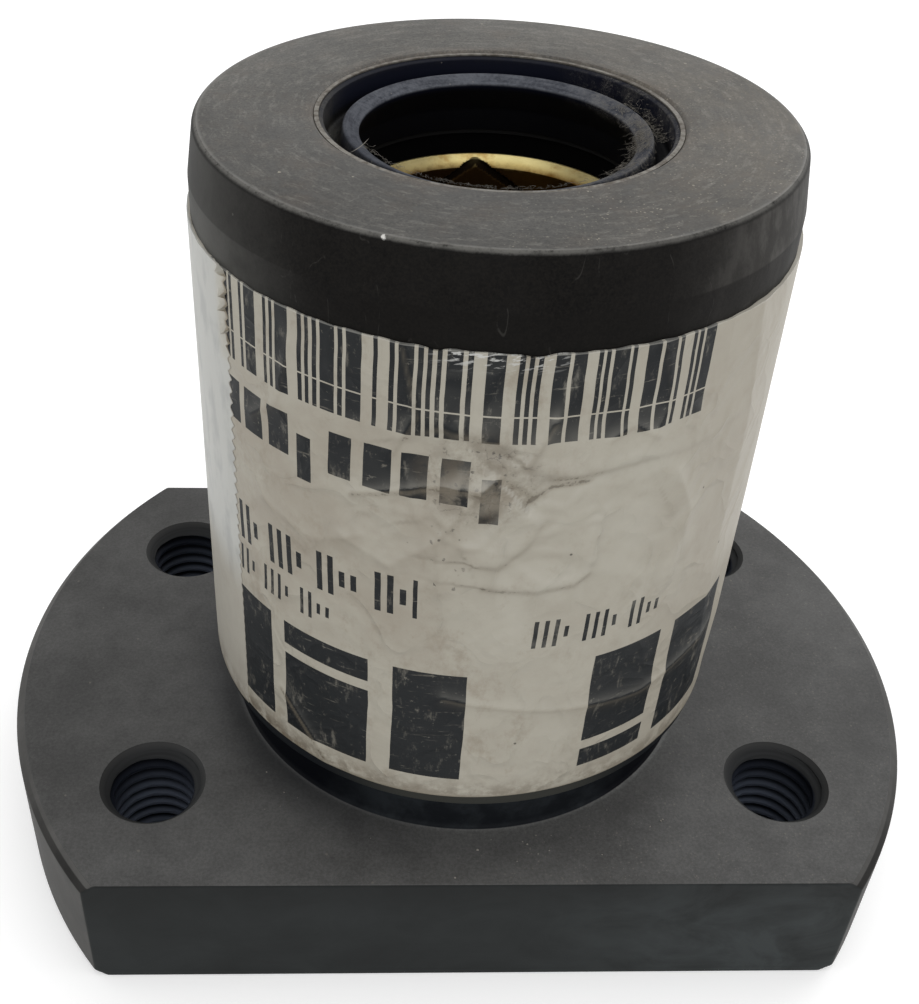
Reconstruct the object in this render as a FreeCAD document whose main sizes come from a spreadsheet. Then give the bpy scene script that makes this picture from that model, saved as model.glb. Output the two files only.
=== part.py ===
# Flanged guide bush for a round shaft: a blackened steel housing with two bronze bushes,
# a cased rubber wiper at each end and a paper label round the barrel.
# Millimetres, +Z up along the shaft. The origin is the centre of the flange's underside.
import FreeCAD, Part
import math
import os
import Sketcher

SIZES = [
    ("shaft_diameter", 25.0, "round shaft that slides in the bushes"),
    ("housing_length", 80.0, "flange underside to the barrel's end face"),
    ("barrel_diameter", 54.0, "barrel, where the label sits"),
    ("lead_diameter", 52.8, "small end of the barrel's lead-in taper"),
    ("lead_length", 4.7, "height of the lead-in taper"),
    ("rim_break", 0.4, "broken edge round the barrel's end face"),
    ("neck_diameter", 50.0, "relief neck between barrel and flange"),
    ("neck_length", 6.0, "height of the relief neck"),
    ("neck_radius", 0.8, "tool radius in the neck's two corners"),
    ("flange_diameter", 100.0, "round flange before its flats are milled"),
    ("flange_thickness", 15.0, "flange height"),
    ("flange_width", 64.0, "flange across its two flats"),
    ("flange_chamfer", 1.0, "chamfer on the flange's round edges"),
    ("bolt_circle", 76.0, "pitch circle of the tapped holes"),
    ("bolt_angle", 30.0, "angle of each tapped hole from the X axis, degrees"),
    ("thread_diameter", 10.0, "outer diameter of the holes' thread"),
    ("countersink_diameter", 11.0, "mouth of each tapped hole"),
    ("exit_chamfer", 0.4, "chamfer where each tapped hole leaves the flange"),
    ("bush_diameter", 28.0, "outside of the bushes and bore of the housing"),
    ("bush_length", 25.0, "length of each bush"),
    ("bush_depth", 9.3, "housing end face to the nearer end of a bush"),
    ("bush_mouth", 1.0, "lead-in chamfer at both mouths of a bush"),
    ("bush_edge", 0.3, "chamfer on the outside edges of a bush"),
    ("groove_depth", 0.6, "depth of the oil grooves"),
    ("groove_radius", 1.6, "radius of the oil grooves' round section"),
    ("groove_turns", 0.5, "turns of each oil groove along a bush"),
    ("groove_lead_in", 20.0, "turn of each oil groove before a bush begins, degrees"),
    ("groove_azimuth", 92.0, "where the upper bush's grooves cross at its top, degrees from +X"),
    ("wiper_diameter", 32.0, "outside of the wiper cases and their counterbores"),
    ("wiper_height", 7.0, "height of a wiper"),
    ("wiper_recess", 0.2, "housing end face to a wiper's rim"),
    ("seat_chamfer", 0.3, "chamfer at the mouth of each wiper counterbore"),
    ("case_wall", 0.4, "sheet thickness of a wiper case"),
    ("case_bend", 0.7, "outside bend radius of a wiper case"),
    ("case_opening", 27.2, "hole in the floor of a wiper case"),
    ("lining", 0.4, "rubber on the inside wall of a wiper case"),
    ("lining_setback", 0.15, "wiper rim to the edge of its rubber lining"),
    ("channel_depth", 3.2, "housing end face to the bottom of the channel behind the lip"),
    ("crest_diameter", 27.0, "outer edge of the lip's bevelled top"),
    ("crest_depth", 1.3, "housing end face to the lip's outer edge"),
    ("lip_drop", 0.45, "fall of the lip's bevelled top towards the shaft"),
    ("lip_nose", 0.35, "height of the lip's blunt nose"),
    ("lip_wall", 1.1, "thickness of the lip at the bottom of the channel"),
    ("heel_clearance", 0.9, "radial room between the shaft and the wiper's heel"),
    ("heel_height", 2.2, "straight height of the wiper's heel"),
    ("label_bottom", 22.4, "flange underside to the label's lower edge"),
    ("label_height", 49.8, "width of the label's paper strip"),
    ("label_paper", 0.2, "thickness of the paper and its glue"),
    ("tail_azimuth", 212.5, "where the label's tail ends, degrees from +X"),
    ("tail_overlap", 34.5, "length of the tail over the label's start, degrees"),
]
AT_ORIGIN = "at the sketch's origin"
GUESS_CENTRE = 40.0
GUESS_RADIUS = 20.0
MATCH = 1e-4
UPRIGHT = FreeCAD.Rotation()
UPSIDE_DOWN = FreeCAD.Rotation(FreeCAD.Vector(1, 0, 0), 180)


def make_sheet(doc):
    """Spreadsheet with one row per driving size: meaning, value and alias."""
    sheet = doc.addObject("Spreadsheet::Sheet", "Sizes")
    for row, (alias, value, meaning) in enumerate(SIZES, start=1):
        sheet.set(f"A{row}", meaning)
        sheet.set(f"B{row}", str(value))
        sheet.setAlias(f"B{row}", alias)
    doc.recompute()
    return sheet


def add_body(doc, label):
    """Empty body whose label names the piece."""
    body = doc.addObject("PartDesign::Body", label.title().replace("_", ""))
    body.Label = label
    return body


def add_sketch(body, name, role):
    """Sketch on one of the body's own origin planes."""
    sketch = body.newObject("Sketcher::SketchObject", name)
    plane = next(feature for feature in body.Origin.OriginFeatures if feature.Role == role)
    sketch.AttachmentSupport = [(plane, "")]
    sketch.MapMode = "FlatFace"
    return sketch


def hold_point(sketch, edge, point, guess, across, up):
    """Hold a point of an edge at two distances from the sketch's origin, both expressions."""
    for kind, axis, start, expression in (
        ("DistanceX", -2, guess.x, across),
        ("DistanceY", -1, guess.y, up),
    ):
        if expression == AT_ORIGIN:
            sketch.addConstraint(Sketcher.Constraint("PointOnObject", edge, point, axis))
        else:
            number = sketch.addConstraint(Sketcher.Constraint(kind, -1, 1, edge, point, start))
            sketch.setExpression(f"Constraints[{number}]", expression)


def add_outline(sketch, corners):
    """Closed loop of straight edges through the corners, each an (across, up) pair of expressions."""
    count = len(corners)
    first = sketch.GeometryCount
    middle = FreeCAD.Vector(GUESS_CENTRE, GUESS_CENTRE)
    turns = [2 * math.pi * corner / count for corner in range(count)]
    guesses = [middle + FreeCAD.Vector(math.cos(turn), math.sin(turn)) * GUESS_RADIUS for turn in turns]
    for corner in range(count):
        sketch.addGeometry(Part.LineSegment(guesses[corner], guesses[(corner + 1) % count]), False)
    for corner in range(count):
        following = first + (corner + 1) % count
        sketch.addConstraint(Sketcher.Constraint("Coincident", first + corner, 2, following, 1))
    for corner, (across, up) in enumerate(corners):
        hold_point(sketch, first + corner, 1, guesses[corner], across, up)


def add_circle(sketch, across, up, radius):
    """Circle whose centre and radius are expressions."""
    guess = FreeCAD.Vector(GUESS_CENTRE, GUESS_CENTRE)
    edge = sketch.addGeometry(Part.Circle(guess, FreeCAD.Vector(0, 0, 1), 1.0), False)
    number = sketch.addConstraint(Sketcher.Constraint("Radius", edge, 1.0))
    sketch.setExpression(f"Constraints[{number}]", radius)
    hold_point(sketch, edge, 3, guess, across, up)


def revolve(body, name, corners):
    """Solid of revolution about Z of a section given as (radius, height) expressions."""
    section = add_sketch(body, name + "Section", "XZ_Plane")
    add_outline(section, corners)
    turned = body.newObject("PartDesign::Revolution", name)
    turned.Profile = section
    turned.ReferenceAxis = (section, ["V_Axis"])
    turned.Angle = 360
    body.Document.recompute()
    return turned


def ring_edges(feature, radius, height):
    """Names of the circular edges that have this radius at this height."""
    names = []
    for number, edge in enumerate(feature.Shape.Edges, start=1):
        if not isinstance(edge.Curve, Part.Circle):
            continue
        if abs(edge.Curve.Radius - radius) < MATCH and abs(edge.Curve.Center.z - height) < MATCH:
            names.append(f"Edge{number}")
    return names


def dress_edges(body, kind, name, base, edges, size_property, size):
    """Fillet or chamfer some edges of a feature with a size given as an expression."""
    dressed = body.newObject(kind, name)
    dressed.Base = (base, edges)
    dressed.setExpression(size_property, size)
    body.Document.recompute()
    return dressed


def make_housing(doc, sheet):
    """Barrel and flange turned in one piece, with milled flats and tapped holes."""
    body = add_body(doc, "housing")
    bore = "Sizes.bush_diameter / 2"
    seat = "Sizes.wiper_diameter / 2"
    seat_depth = "(Sizes.wiper_recess + Sizes.wiper_height)"
    top = "Sizes.housing_length"
    lead = "Sizes.lead_diameter / 2"
    barrel = "Sizes.barrel_diameter / 2"
    neck = "Sizes.neck_diameter / 2"
    neck_top = "Sizes.flange_thickness + Sizes.neck_length"
    rim = "Sizes.flange_diameter / 2"
    turned = revolve(body, "TurnedHousing", [
        (bore, seat_depth),
        (bore, f"{top} - {seat_depth}"),
        (seat, f"{top} - {seat_depth}"),
        (seat, f"{top} - Sizes.seat_chamfer"),
        (f"{seat} + Sizes.seat_chamfer", top),
        (f"{lead} - Sizes.rim_break", top),
        (lead, f"{top} - Sizes.rim_break"),
        (barrel, f"{top} - Sizes.lead_length"),
        (barrel, neck_top),
        (neck, neck_top),
        (neck, "Sizes.flange_thickness"),
        (f"{rim} - Sizes.flange_chamfer", "Sizes.flange_thickness"),
        (rim, "Sizes.flange_thickness - Sizes.flange_chamfer"),
        (rim, "Sizes.flange_chamfer"),
        (f"{rim} - Sizes.flange_chamfer", AT_ORIGIN),
        (f"{seat} + Sizes.seat_chamfer", AT_ORIGIN),
        (seat, "Sizes.seat_chamfer"),
        (seat, seat_depth),
    ])
    neck_corners = ring_edges(turned, sheet.neck_diameter / 2, sheet.flange_thickness)
    neck_corners += ring_edges(turned, sheet.neck_diameter / 2, sheet.flange_thickness + sheet.neck_length)
    dress_edges(
        body, "PartDesign::Fillet", "NeckCorners", turned, neck_corners, "Radius", "Sizes.neck_radius")

    outside = add_sketch(body, "OutsideFlats", "XY_Plane")
    for side in ("", "-"):
        near = f"{side}Sizes.flange_width / 2"
        far = f"{side}{rim}"
        add_outline(outside, [(f"-{rim}", near), (rim, near), (rim, far), (f"-{rim}", far)])
    flats = body.newObject("PartDesign::Pocket", "MilledFlats")
    flats.Profile = outside
    flats.Type = "Length"
    flats.setExpression("Length", "Sizes.flange_thickness")
    flats.Reversed = True
    doc.recompute()

    centres = add_sketch(body, "BoltCentres", "XY_Plane")
    centres.setExpression("AttachmentOffset.Base.z", "Sizes.flange_thickness")
    for across_side in ("", "-"):
        for up_side in ("", "-"):
            across = f"{across_side}Sizes.bolt_circle / 2 * cos(Sizes.bolt_angle)"
            up = f"{up_side}Sizes.bolt_circle / 2 * sin(Sizes.bolt_angle)"
            add_circle(centres, across, up, "Sizes.thread_diameter / 2")
    doc.recompute()
    tapped = body.newObject("PartDesign::Hole", "TappedHoles")
    tapped.Profile = centres
    tapped.ThreadType = "None"
    tapped.setExpression("Diameter", "Sizes.thread_diameter")
    tapped.DepthType = "ThroughAll"
    tapped.HoleCutType = "Countersink"
    tapped.HoleCutCustomValues = True
    tapped.setExpression("HoleCutDiameter", "Sizes.countersink_diameter")
    tapped.HoleCutCountersinkAngle = 90
    doc.recompute()

    exits = ring_edges(tapped, sheet.thread_diameter / 2, 0.0)
    body.Tip = dress_edges(
        body, "PartDesign::Chamfer", "HoleExits", tapped, exits, "Size", "Sizes.exit_chamfer")
    return body


def add_cylinder(doc, name, radius, height, bottom=None):
    """Upright cylinder on the shaft's axis, standing at Z = 0 or at the given height."""
    cylinder = doc.addObject("Part::Cylinder", name)
    cylinder.setExpression("Radius", radius)
    cylinder.setExpression("Height", height)
    if bottom:
        cylinder.setExpression("Placement.Base.z", bottom)
    return cylinder


def split_housing(doc, housing):
    """Flange and barrel as two solids that meet round the barrel's foot, just outside the neck."""
    foot = "Sizes.neck_diameter / 2 + 1.25 * Sizes.neck_radius"
    ring = doc.addObject("Part::Cut", "FlangeRing")
    ring.Base = add_cylinder(doc, "FlangeDisc", "Sizes.flange_diameter / 2", "Sizes.flange_thickness")
    ring.Tool = add_cylinder(doc, "BarrelFoot", foot, "Sizes.flange_thickness")
    flange = doc.addObject("Part::Common", "Flange")
    flange.Label = "flange"
    barrel = doc.addObject("Part::Cut", "Barrel")
    barrel.Label = "barrel"
    for piece in (flange, barrel):
        piece.Base = housing
        piece.Tool = ring
    doc.recompute()
    return [flange, barrel]


def make_bush(doc, label):
    """Bronze bush with two helical oil grooves that cross at its ends, hung below Z = 0."""
    body = add_body(doc, label)
    bore = "Sizes.shaft_diameter / 2"
    outside = "Sizes.bush_diameter / 2"
    near = "-Sizes.bush_depth"
    far = "-(Sizes.bush_depth + Sizes.bush_length)"
    revolve(body, "TurnedBush", [
        (f"{bore} + Sizes.bush_mouth", near),
        (f"{outside} - Sizes.bush_edge", near),
        (outside, f"{near} - Sizes.bush_edge"),
        (outside, f"{far} + Sizes.bush_edge"),
        (f"{outside} - Sizes.bush_edge", far),
        (f"{bore} + Sizes.bush_mouth", far),
        (bore, f"{far} + Sizes.bush_mouth"),
        (bore, f"{near} - Sizes.bush_mouth"),
    ])
    pitch = "Sizes.bush_length / Sizes.groove_turns"
    overrun = f"{pitch} * Sizes.groove_lead_in / 360"
    for hand, left_handed in (("Right", False), ("Left", True)):
        section = add_sketch(body, hand + "GrooveSection", "XZ_Plane")
        section.AttachmentOffset = FreeCAD.Placement(
            FreeCAD.Vector(), FreeCAD.Rotation(FreeCAD.Vector(0, 1, 0), 1))
        turn = "Sizes.groove_lead_in" if left_handed else "-Sizes.groove_lead_in"
        section.setExpression("AttachmentOffset.Rotation.Angle", turn)
        across = f"{bore} + Sizes.groove_depth - Sizes.groove_radius"
        add_circle(section, across, f"{far} - {overrun}", "Sizes.groove_radius")
        doc.recompute()
        groove = body.newObject("PartDesign::SubtractiveHelix", hand + "Groove")
        groove.Profile = section
        groove.ReferenceAxis = (section, ["V_Axis"])
        groove.Mode = "pitch-height-angle"
        groove.setExpression("Pitch", pitch)
        groove.setExpression("Height", f"Sizes.bush_length + 2 * {overrun}")
        groove.LeftHanded = left_handed
        groove.HasBeenEdited = True
        doc.recompute()
        body.Tip = groove
    return body


def make_wiper_case(doc, label):
    """Pressed steel case of a wiper: a wall with a floor turned in at its foot, hung below Z = 0."""
    body = add_body(doc, label)
    outside = "Sizes.wiper_diameter / 2"
    inside = f"{outside} - Sizes.case_wall"
    floor = "-(Sizes.wiper_recess + Sizes.wiper_height)"
    pressed = revolve(body, "PressedCase", [
        (outside, "-Sizes.wiper_recess"),
        (inside, "-Sizes.wiper_recess"),
        (inside, f"{floor} + Sizes.case_wall"),
        ("Sizes.case_opening / 2", f"{floor} + Sizes.case_wall"),
        ("Sizes.case_opening / 2", floor),
        (outside, floor),
    ])
    sheet = doc.getObject("Sizes")
    bend = ring_edges(pressed, sheet.wiper_diameter / 2, -sheet.wiper_recess - sheet.wiper_height)
    body.Tip = dress_edges(body, "PartDesign::Fillet", "CaseBend", pressed, bend, "Radius", "Sizes.case_bend")
    return body


def make_wiper_lip(doc, label):
    """Rubber of a wiper: lining, channel, bevelled lip and heel, hung below Z = 0."""
    body = add_body(doc, label)
    wall = "Sizes.wiper_diameter / 2 - Sizes.case_wall"
    lined = f"{wall} - Sizes.lining"
    shaft = "Sizes.shaft_diameter / 2"
    heel = f"{shaft} + Sizes.heel_clearance"
    crest = "Sizes.crest_diameter / 2"
    channel_foot = f"{crest} + Sizes.lining"
    edge = "-(Sizes.wiper_recess + Sizes.lining_setback)"
    floor = "-(Sizes.wiper_recess + Sizes.wiper_height) + Sizes.case_wall"
    nose = "-(Sizes.crest_depth + Sizes.lip_drop)"
    revolve(body, "MouldedLip", [
        (wall, edge),
        (lined, f"{edge} - Sizes.lining / 2"),
        (lined, "-Sizes.channel_depth"),
        (channel_foot, "-Sizes.channel_depth"),
        (crest, "-Sizes.crest_depth"),
        (shaft, nose),
        (f"{shaft} + Sizes.lip_nose / 2", f"{nose} - Sizes.lip_nose"),
        (f"{channel_foot} - Sizes.lip_wall", "-Sizes.channel_depth"),
        (heel, f"{floor} + Sizes.heel_height"),
        (heel, floor),
        (wall, floor),
    ])
    return body


def make_label(doc):
    """Paper strip once round the barrel, with its tail lying over its start."""
    barrel = "Sizes.barrel_diameter / 2"
    span = ("Sizes.label_height", "Sizes.label_bottom")
    strip = add_cylinder(doc, "LabelStrip", f"{barrel} + Sizes.label_paper", *span)
    tail = add_cylinder(doc, "LabelTail", f"{barrel} + 2 * Sizes.label_paper", *span)
    tail.setExpression("Angle", "Sizes.tail_overlap")
    tail.setExpression("Placement.Rotation.Angle", "Sizes.tail_azimuth - Sizes.tail_overlap")
    paper = doc.addObject("Part::Fuse", "LabelLayers")
    paper.Base = strip
    paper.Tool = tail
    label = doc.addObject("Part::Cut", "WrappedLabel")
    label.Label = "label"
    label.Base = paper
    label.Tool = add_cylinder(doc, "LabelledBarrel", barrel, *span)
    doc.recompute()
    return label


def put_at_end(body, upper):
    """Hang a piece from the housing's top face, or turn it over to stand in the flange's underside."""
    body.Placement = FreeCAD.Placement(FreeCAD.Vector(), UPRIGHT if upper else UPSIDE_DOWN)
    if upper:
        body.setExpression("Placement.Base.z", "Sizes.housing_length")


def make_pieces(doc):
    """All pieces of the guide bush, each a document object."""
    sheet = make_sheet(doc)
    pieces = split_housing(doc, make_housing(doc, sheet))
    for end in ("upper", "lower"):
        bush = make_bush(doc, f"{end}_bush")
        case = make_wiper_case(doc, f"{end}_wiper_case")
        lip = make_wiper_lip(doc, f"{end}_wiper_lip")
        for piece in (bush, case, lip):
            put_at_end(piece, end == "upper")
            pieces.append(piece)
        if end == "upper":
            bush.setExpression("Placement.Rotation.Angle", "Sizes.groove_azimuth")
    pieces.append(make_label(doc))
    doc.recompute()
    return pieces


def check(doc, pieces):
    """Stop if a feature failed or a piece isn't one valid solid."""
    for item in doc.Objects:
        if "Invalid" in item.State or "Error" in item.State:
            raise RuntimeError(f"{item.Name} failed: {item.State}")
    for piece in pieces:
        if piece.Shape.isNull() or not piece.Shape.isValid() or len(piece.Shape.Solids) != 1:
            raise RuntimeError(f"{piece.Label} isn't one valid solid")


def main():
    doc = FreeCAD.newDocument("GuideBush")
    pieces = make_pieces(doc)
    check(doc, pieces)
    os.makedirs("parts", exist_ok=True)
    for piece in pieces:
        print(f"{piece.Label}: {piece.Shape.Volume:.1f} mm3")
        piece.Shape.exportStep(f"parts/{piece.Label}.step")


main()
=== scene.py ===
"""Looks of the flanged guide bush, laid out as a Blender add-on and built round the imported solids.

Formulas work in millimetres: x along the flange, y from front to back, z up the shaft.
"""
import math

import bmesh
import bpy
import numpy as np
from bpy.props import FloatProperty, FloatVectorProperty, IntProperty, PointerProperty
from mathutils import Matrix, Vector
from mathutils.geometry import delaunay_2d_cdt


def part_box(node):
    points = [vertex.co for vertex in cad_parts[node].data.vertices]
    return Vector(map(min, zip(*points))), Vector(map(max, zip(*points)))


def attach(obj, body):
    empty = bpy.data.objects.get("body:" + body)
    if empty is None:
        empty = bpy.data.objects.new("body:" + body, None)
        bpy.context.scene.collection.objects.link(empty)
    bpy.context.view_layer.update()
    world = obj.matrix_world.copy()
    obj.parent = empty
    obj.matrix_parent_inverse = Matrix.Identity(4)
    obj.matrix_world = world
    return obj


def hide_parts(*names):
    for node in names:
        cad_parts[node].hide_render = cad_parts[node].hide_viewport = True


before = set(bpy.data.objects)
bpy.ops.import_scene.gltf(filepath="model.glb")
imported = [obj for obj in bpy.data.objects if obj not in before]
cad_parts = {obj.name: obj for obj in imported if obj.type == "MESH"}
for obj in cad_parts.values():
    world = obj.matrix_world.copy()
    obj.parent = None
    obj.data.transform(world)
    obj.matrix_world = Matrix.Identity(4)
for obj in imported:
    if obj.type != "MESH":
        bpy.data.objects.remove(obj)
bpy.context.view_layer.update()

bl_info = {
    "name": "Guide Bush Looks",
    "version": (1, 0, 0),
    "blender": (4, 5, 0),
    "location": "3D View > Sidebar > Guide Bush",
    "description": "Finished pieces and stage of a flanged guide bush",
    "category": "Object",
}

MM = 0.001
FULL_TURN = 2.0 * math.pi
FLANGE_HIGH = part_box("flange")[1]
BARREL_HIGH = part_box("barrel")[1]
LABEL_LOW, LABEL_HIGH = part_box("label")
UPPER_BUSH_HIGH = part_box("upper_bush")[1]
FRONT_AZIMUTH = 270.0

# Millimetres, shared by the shapes and the finishes
TOP = BARREL_HIGH.z / MM
NECK, NECK_TOP, TAPER_START, SEAT = 25.0, 21.0, 75.3, 16.0
HOLE_MOUTH, HOLE_EXIT = 5.5, 5.4
LIP_CORNER, LINING = 13.5, 15.2

# A hair is this many times as thick as the fibres
HAIR = 4.0


def length(name, description, default):
    """Property that holds a length in metres."""
    return FloatProperty(name=name, description=description, default=default, unit="LENGTH", precision=5)


def colour(name, description, default):
    """Property that holds a linear colour."""
    return FloatVectorProperty(
        name=name, description=description, default=default, subtype="COLOR", size=3, min=0.0, max=1.0)


def share(name, description, default):
    """Property that holds an amount from 0 to 1."""
    return FloatProperty(name=name, description=description, default=default, subtype="FACTOR", min=0.0, max=1.0)


def angle(name, description, degrees):
    """Property that holds an angle."""
    return FloatProperty(name=name, description=description, default=math.radians(degrees), subtype="ANGLE")


def power(name, description, default):
    """Property that holds a panel's power."""
    return FloatProperty(name=name, description=description, default=default, unit="POWER")


# Settings that a user would change


class HousingSettings(bpy.types.PropertyGroup):
    """Sizes and colours of the blackened housing."""
    height: length("Height", "Flange underside to the end face", BARREL_HIGH.z)
    barrel: length("Barrel radius", "Outside of the barrel", BARREL_HIGH.x)
    flange: length("Flange radius", "Round flange before its flats", FLANGE_HIGH.x)
    flat: length("Flat distance", "Axis to each milled flat", FLANGE_HIGH.y)
    thickness: length("Flange thickness", "Height of the flange", FLANGE_HIGH.z)
    bolt_circle: length("Bolt circle radius", "Axis to each tapped hole", 0.038)
    bolt_angle: angle("Bolt angle", "Tapped holes from the X axis", 30.0)
    thread: length("Thread radius", "Outer radius of the tapped thread", 0.005)
    pitch: length("Thread pitch", "Rise of the thread per turn", 0.0015)
    thread_depth: length("Thread depth", "Height of the thread's ridges", 0.000812)
    steel: colour("Steel", "Black oxide in the clean", (0.0034, 0.0033, 0.0032))
    bloom: colour("Bloom", "Greyer patches of the oxide", (0.0078, 0.0075, 0.0072))
    cool: colour("Flats", "Blue-green cast of the milled flats", (0.042, 0.0475, 0.0485))
    dust: colour("Dust", "Dry dust on the end face", (0.155, 0.148, 0.131))
    film: colour("Film", "Thin grey film on the flange", (0.078, 0.0775, 0.0755))
    dirt: colour("Dirt", "Brown dirt round the wiper", (0.075, 0.052, 0.034))
    bare: colour("Bare steel", "Metal where an edge is knocked", (0.62, 0.61, 0.58))


class BushSettings(bpy.types.PropertyGroup):
    """Sizes and colours of the bronze bushes."""
    bore: length("Bore radius", "Radius of the shaft", 0.0125)
    outside: length("Outside radius", "Radius of the housing's bore", UPPER_BUSH_HIGH.x)
    groove: length("Groove depth", "Depth of the oil grooves", 0.00075)
    groove_section: length("Groove section", "Radius of the oil grooves' round section", 0.0004)
    mouth: length("Mouth", "Lead-in chamfer at both ends", 0.001)
    bronze: colour("Bronze", "Bright turned bronze", (0.68, 0.58, 0.27))
    tarnish: colour("Tarnish", "Brown film of old oil", (0.042, 0.0165, 0.0045))


class WiperSettings(bpy.types.PropertyGroup):
    """Sizes and colours of the cased wipers."""
    lip: length("Lip radius", "Free radius of the lip, with no shaft in it", 0.01205)
    rubber: colour("Rubber", "Clean rubber", (0.0035, 0.0045, 0.0105))
    powder: colour("Powder", "Dust that sticks to the lip", (0.1, 0.106, 0.121))
    case: colour("Case", "Pressed steel of the case", (0.2, 0.189, 0.168))
    rust: colour("Rust", "Stain on the case", (0.05, 0.038, 0.028))


class LabelSettings(bpy.types.PropertyGroup):
    """Sizes and colours of the wrapped paper label."""
    bottom: length("Bottom", "Lower edge above the flange underside", LABEL_LOW.z)
    top: length("Top", "Upper edge above the flange underside", LABEL_HIGH.z)
    layer: length("Layer", "Thickness that one turn takes up", 0.00013)
    tail_azimuth: angle("Tail azimuth", "Where the tail ends", 212.5)
    tail_overlap: angle("Tail overlap", "Tail over the label's start", 34.5)
    bulge: length("Bulge", "Slack on the loose side", 0.00045)
    paper: colour("Paper", "Aged paper", (0.395, 0.372, 0.312))
    aged: colour("Aged", "Yellowed and handled paper", (0.34, 0.312, 0.256))
    tail: colour("Tail", "Paler tail", (0.465, 0.467, 0.44))
    ink: colour("Ink", "Blue-black print", (0.0036, 0.0056, 0.0078))
    glue: colour("Glue", "Brown glue and dirt", (0.115, 0.09, 0.06))


class LintSettings(bpy.types.PropertyGroup):
    """Fibres and crumbs that the part has picked up."""
    fibres: IntProperty(name="Fibres", description="Fibres round the lip", default=620, min=1)
    fibre: length("Fibre radius", "Half the thickness of a fibre", 0.000011)
    crumbs: IntProperty(name="Crumbs", description="Crumbs round the neck", default=36, min=1)
    crumb: length("Crumb size", "Half the size of a large crumb", 0.00014)
    fluff: colour("Fluff", "Fibres", (0.2, 0.185, 0.16))
    grit: colour("Grit", "Crumbs", (0.28, 0.265, 0.235))


class StageSettings(bpy.types.PropertyGroup):
    """Floor, light and camera."""
    floor: colour("Floor", "Pale floor", (0.84, 0.84, 0.84))
    lift: share("Lift", "White that the floor adds in the camera's view", 0.34)
    sky: share("Sky", "Even light from all round", 0.55)
    overhead: power("Overhead", "Power of the overhead panel", 1.8)
    side: power("Side", "Power of the left panel", 0.6)
    back: power("Back", "Power of the panel behind", 2.0)
    front: power("Front", "Power of the panel in front", 1.7)
    lens: FloatProperty(name="Lens", description="Focal length on a 36 mm frame", default=46.34, unit="CAMERA")


# Meshes from whole arrays of points


class Shell:
    """Points and faces of grids and flat patches, gathered until they become one mesh."""

    def __init__(self):
        self.points = []
        self.faces = []
        self.smooth = []
        self.count = 0

    def add(self, points, faces, smooth=True):
        """Add points and the faces that index them."""
        points = np.asarray(points, float).reshape(-1, 3)
        faces = np.asarray(faces)
        self.points.append(points)
        self.faces += (faces + self.count).tolist()
        self.smooth += [smooth] * len(faces)
        self.count += len(points)

    def grid(self, points, around=False, along=False):
        """Add quads between neighbours of a grid of points; around and along close its two directions."""
        self.add(points, grid_quads(points.shape[0], points.shape[1], around, along))


def grid_quads(rows, columns, around=False, along=False):
    """Corner numbers of a grid's quads: (i, j), (i, j + 1), (i + 1, j + 1), (i + 1, j)."""
    i = np.arange(rows if around else rows - 1)[:, None]
    j = np.arange(columns if along else columns - 1)[None, :]
    next_i = (i + 1) % rows
    next_j = (j + 1) % columns
    corners = (i * columns + j, i * columns + next_j, next_i * columns + next_j, next_i * columns + j)
    return np.stack(np.broadcast_arrays(*corners), axis=-1).reshape(-1, 4)


def make_piece(name, shell, material, replaced=(), crease=35.0):
    """Mesh object of a shell at the origin: doubles merged, faces outward, edges over the crease angle sharp."""
    mesh = bpy.data.meshes.new(name)
    mesh.from_pydata((np.concatenate(shell.points) * MM).tolist(), [], shell.faces)
    mesh.polygons.foreach_set("use_smooth", shell.smooth)
    work = bmesh.new()
    work.from_mesh(mesh)
    bmesh.ops.remove_doubles(work, verts=work.verts, dist=2e-7)
    bmesh.ops.recalc_face_normals(work, faces=work.faces)
    work.to_mesh(mesh)
    work.free()
    mesh.set_sharp_from_angle(angle=math.radians(crease))
    mesh.materials.append(material)
    piece = bpy.data.objects.new(name, mesh)
    bpy.context.scene.collection.objects.link(piece)
    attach(piece, "root")
    if replaced:
        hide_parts(*replaced)
    return piece


def soften(corners, breaks, steps=5):
    """Outline with eased corners: each becomes a parabola between points set back by its break on both sides."""
    corners = np.asarray(corners, float)
    forward = np.roll(corners, -1, axis=0) - corners
    forward /= np.maximum(np.linalg.norm(forward, axis=1, keepdims=True), 1e-9)
    backward = np.roll(forward, 1, axis=0)
    setback = np.asarray(breaks, float)[:, None]
    before = (corners - backward * setback)[:, None]
    after = (corners + forward * setback)[:, None]
    t = np.linspace(0.0, 1.0, steps)[None, :, None]
    curve = (1 - t) ** 2 * before + 2 * t * (1 - t) * corners[:, None] + t ** 2 * after
    path = curve.reshape(-1, 2)
    moved = np.abs(np.diff(path, axis=0)).sum(axis=1) > 1e-6
    return path[np.concatenate([[True], moved])]


def turn(outline, angles):
    """Outline of (radius, height) carried round the shaft: a grid of angle by outline point."""
    radius, height = outline.T
    across = np.cos(angles)[:, None] * radius
    depth = np.sin(angles)[:, None] * radius
    return np.stack(np.broadcast_arrays(across, depth, height), axis=-1)


def full_circle(count):
    """Evenly spaced angles round one turn, without the last."""
    return np.arange(count) * (FULL_TURN / count)


def ring(radius, angles, centre=(0.0, 0.0)):
    """Plan points of a circle about a centre."""
    return np.stack([centre[0] + radius * np.cos(angles), centre[1] + radius * np.sin(angles)], axis=-1)


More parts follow.
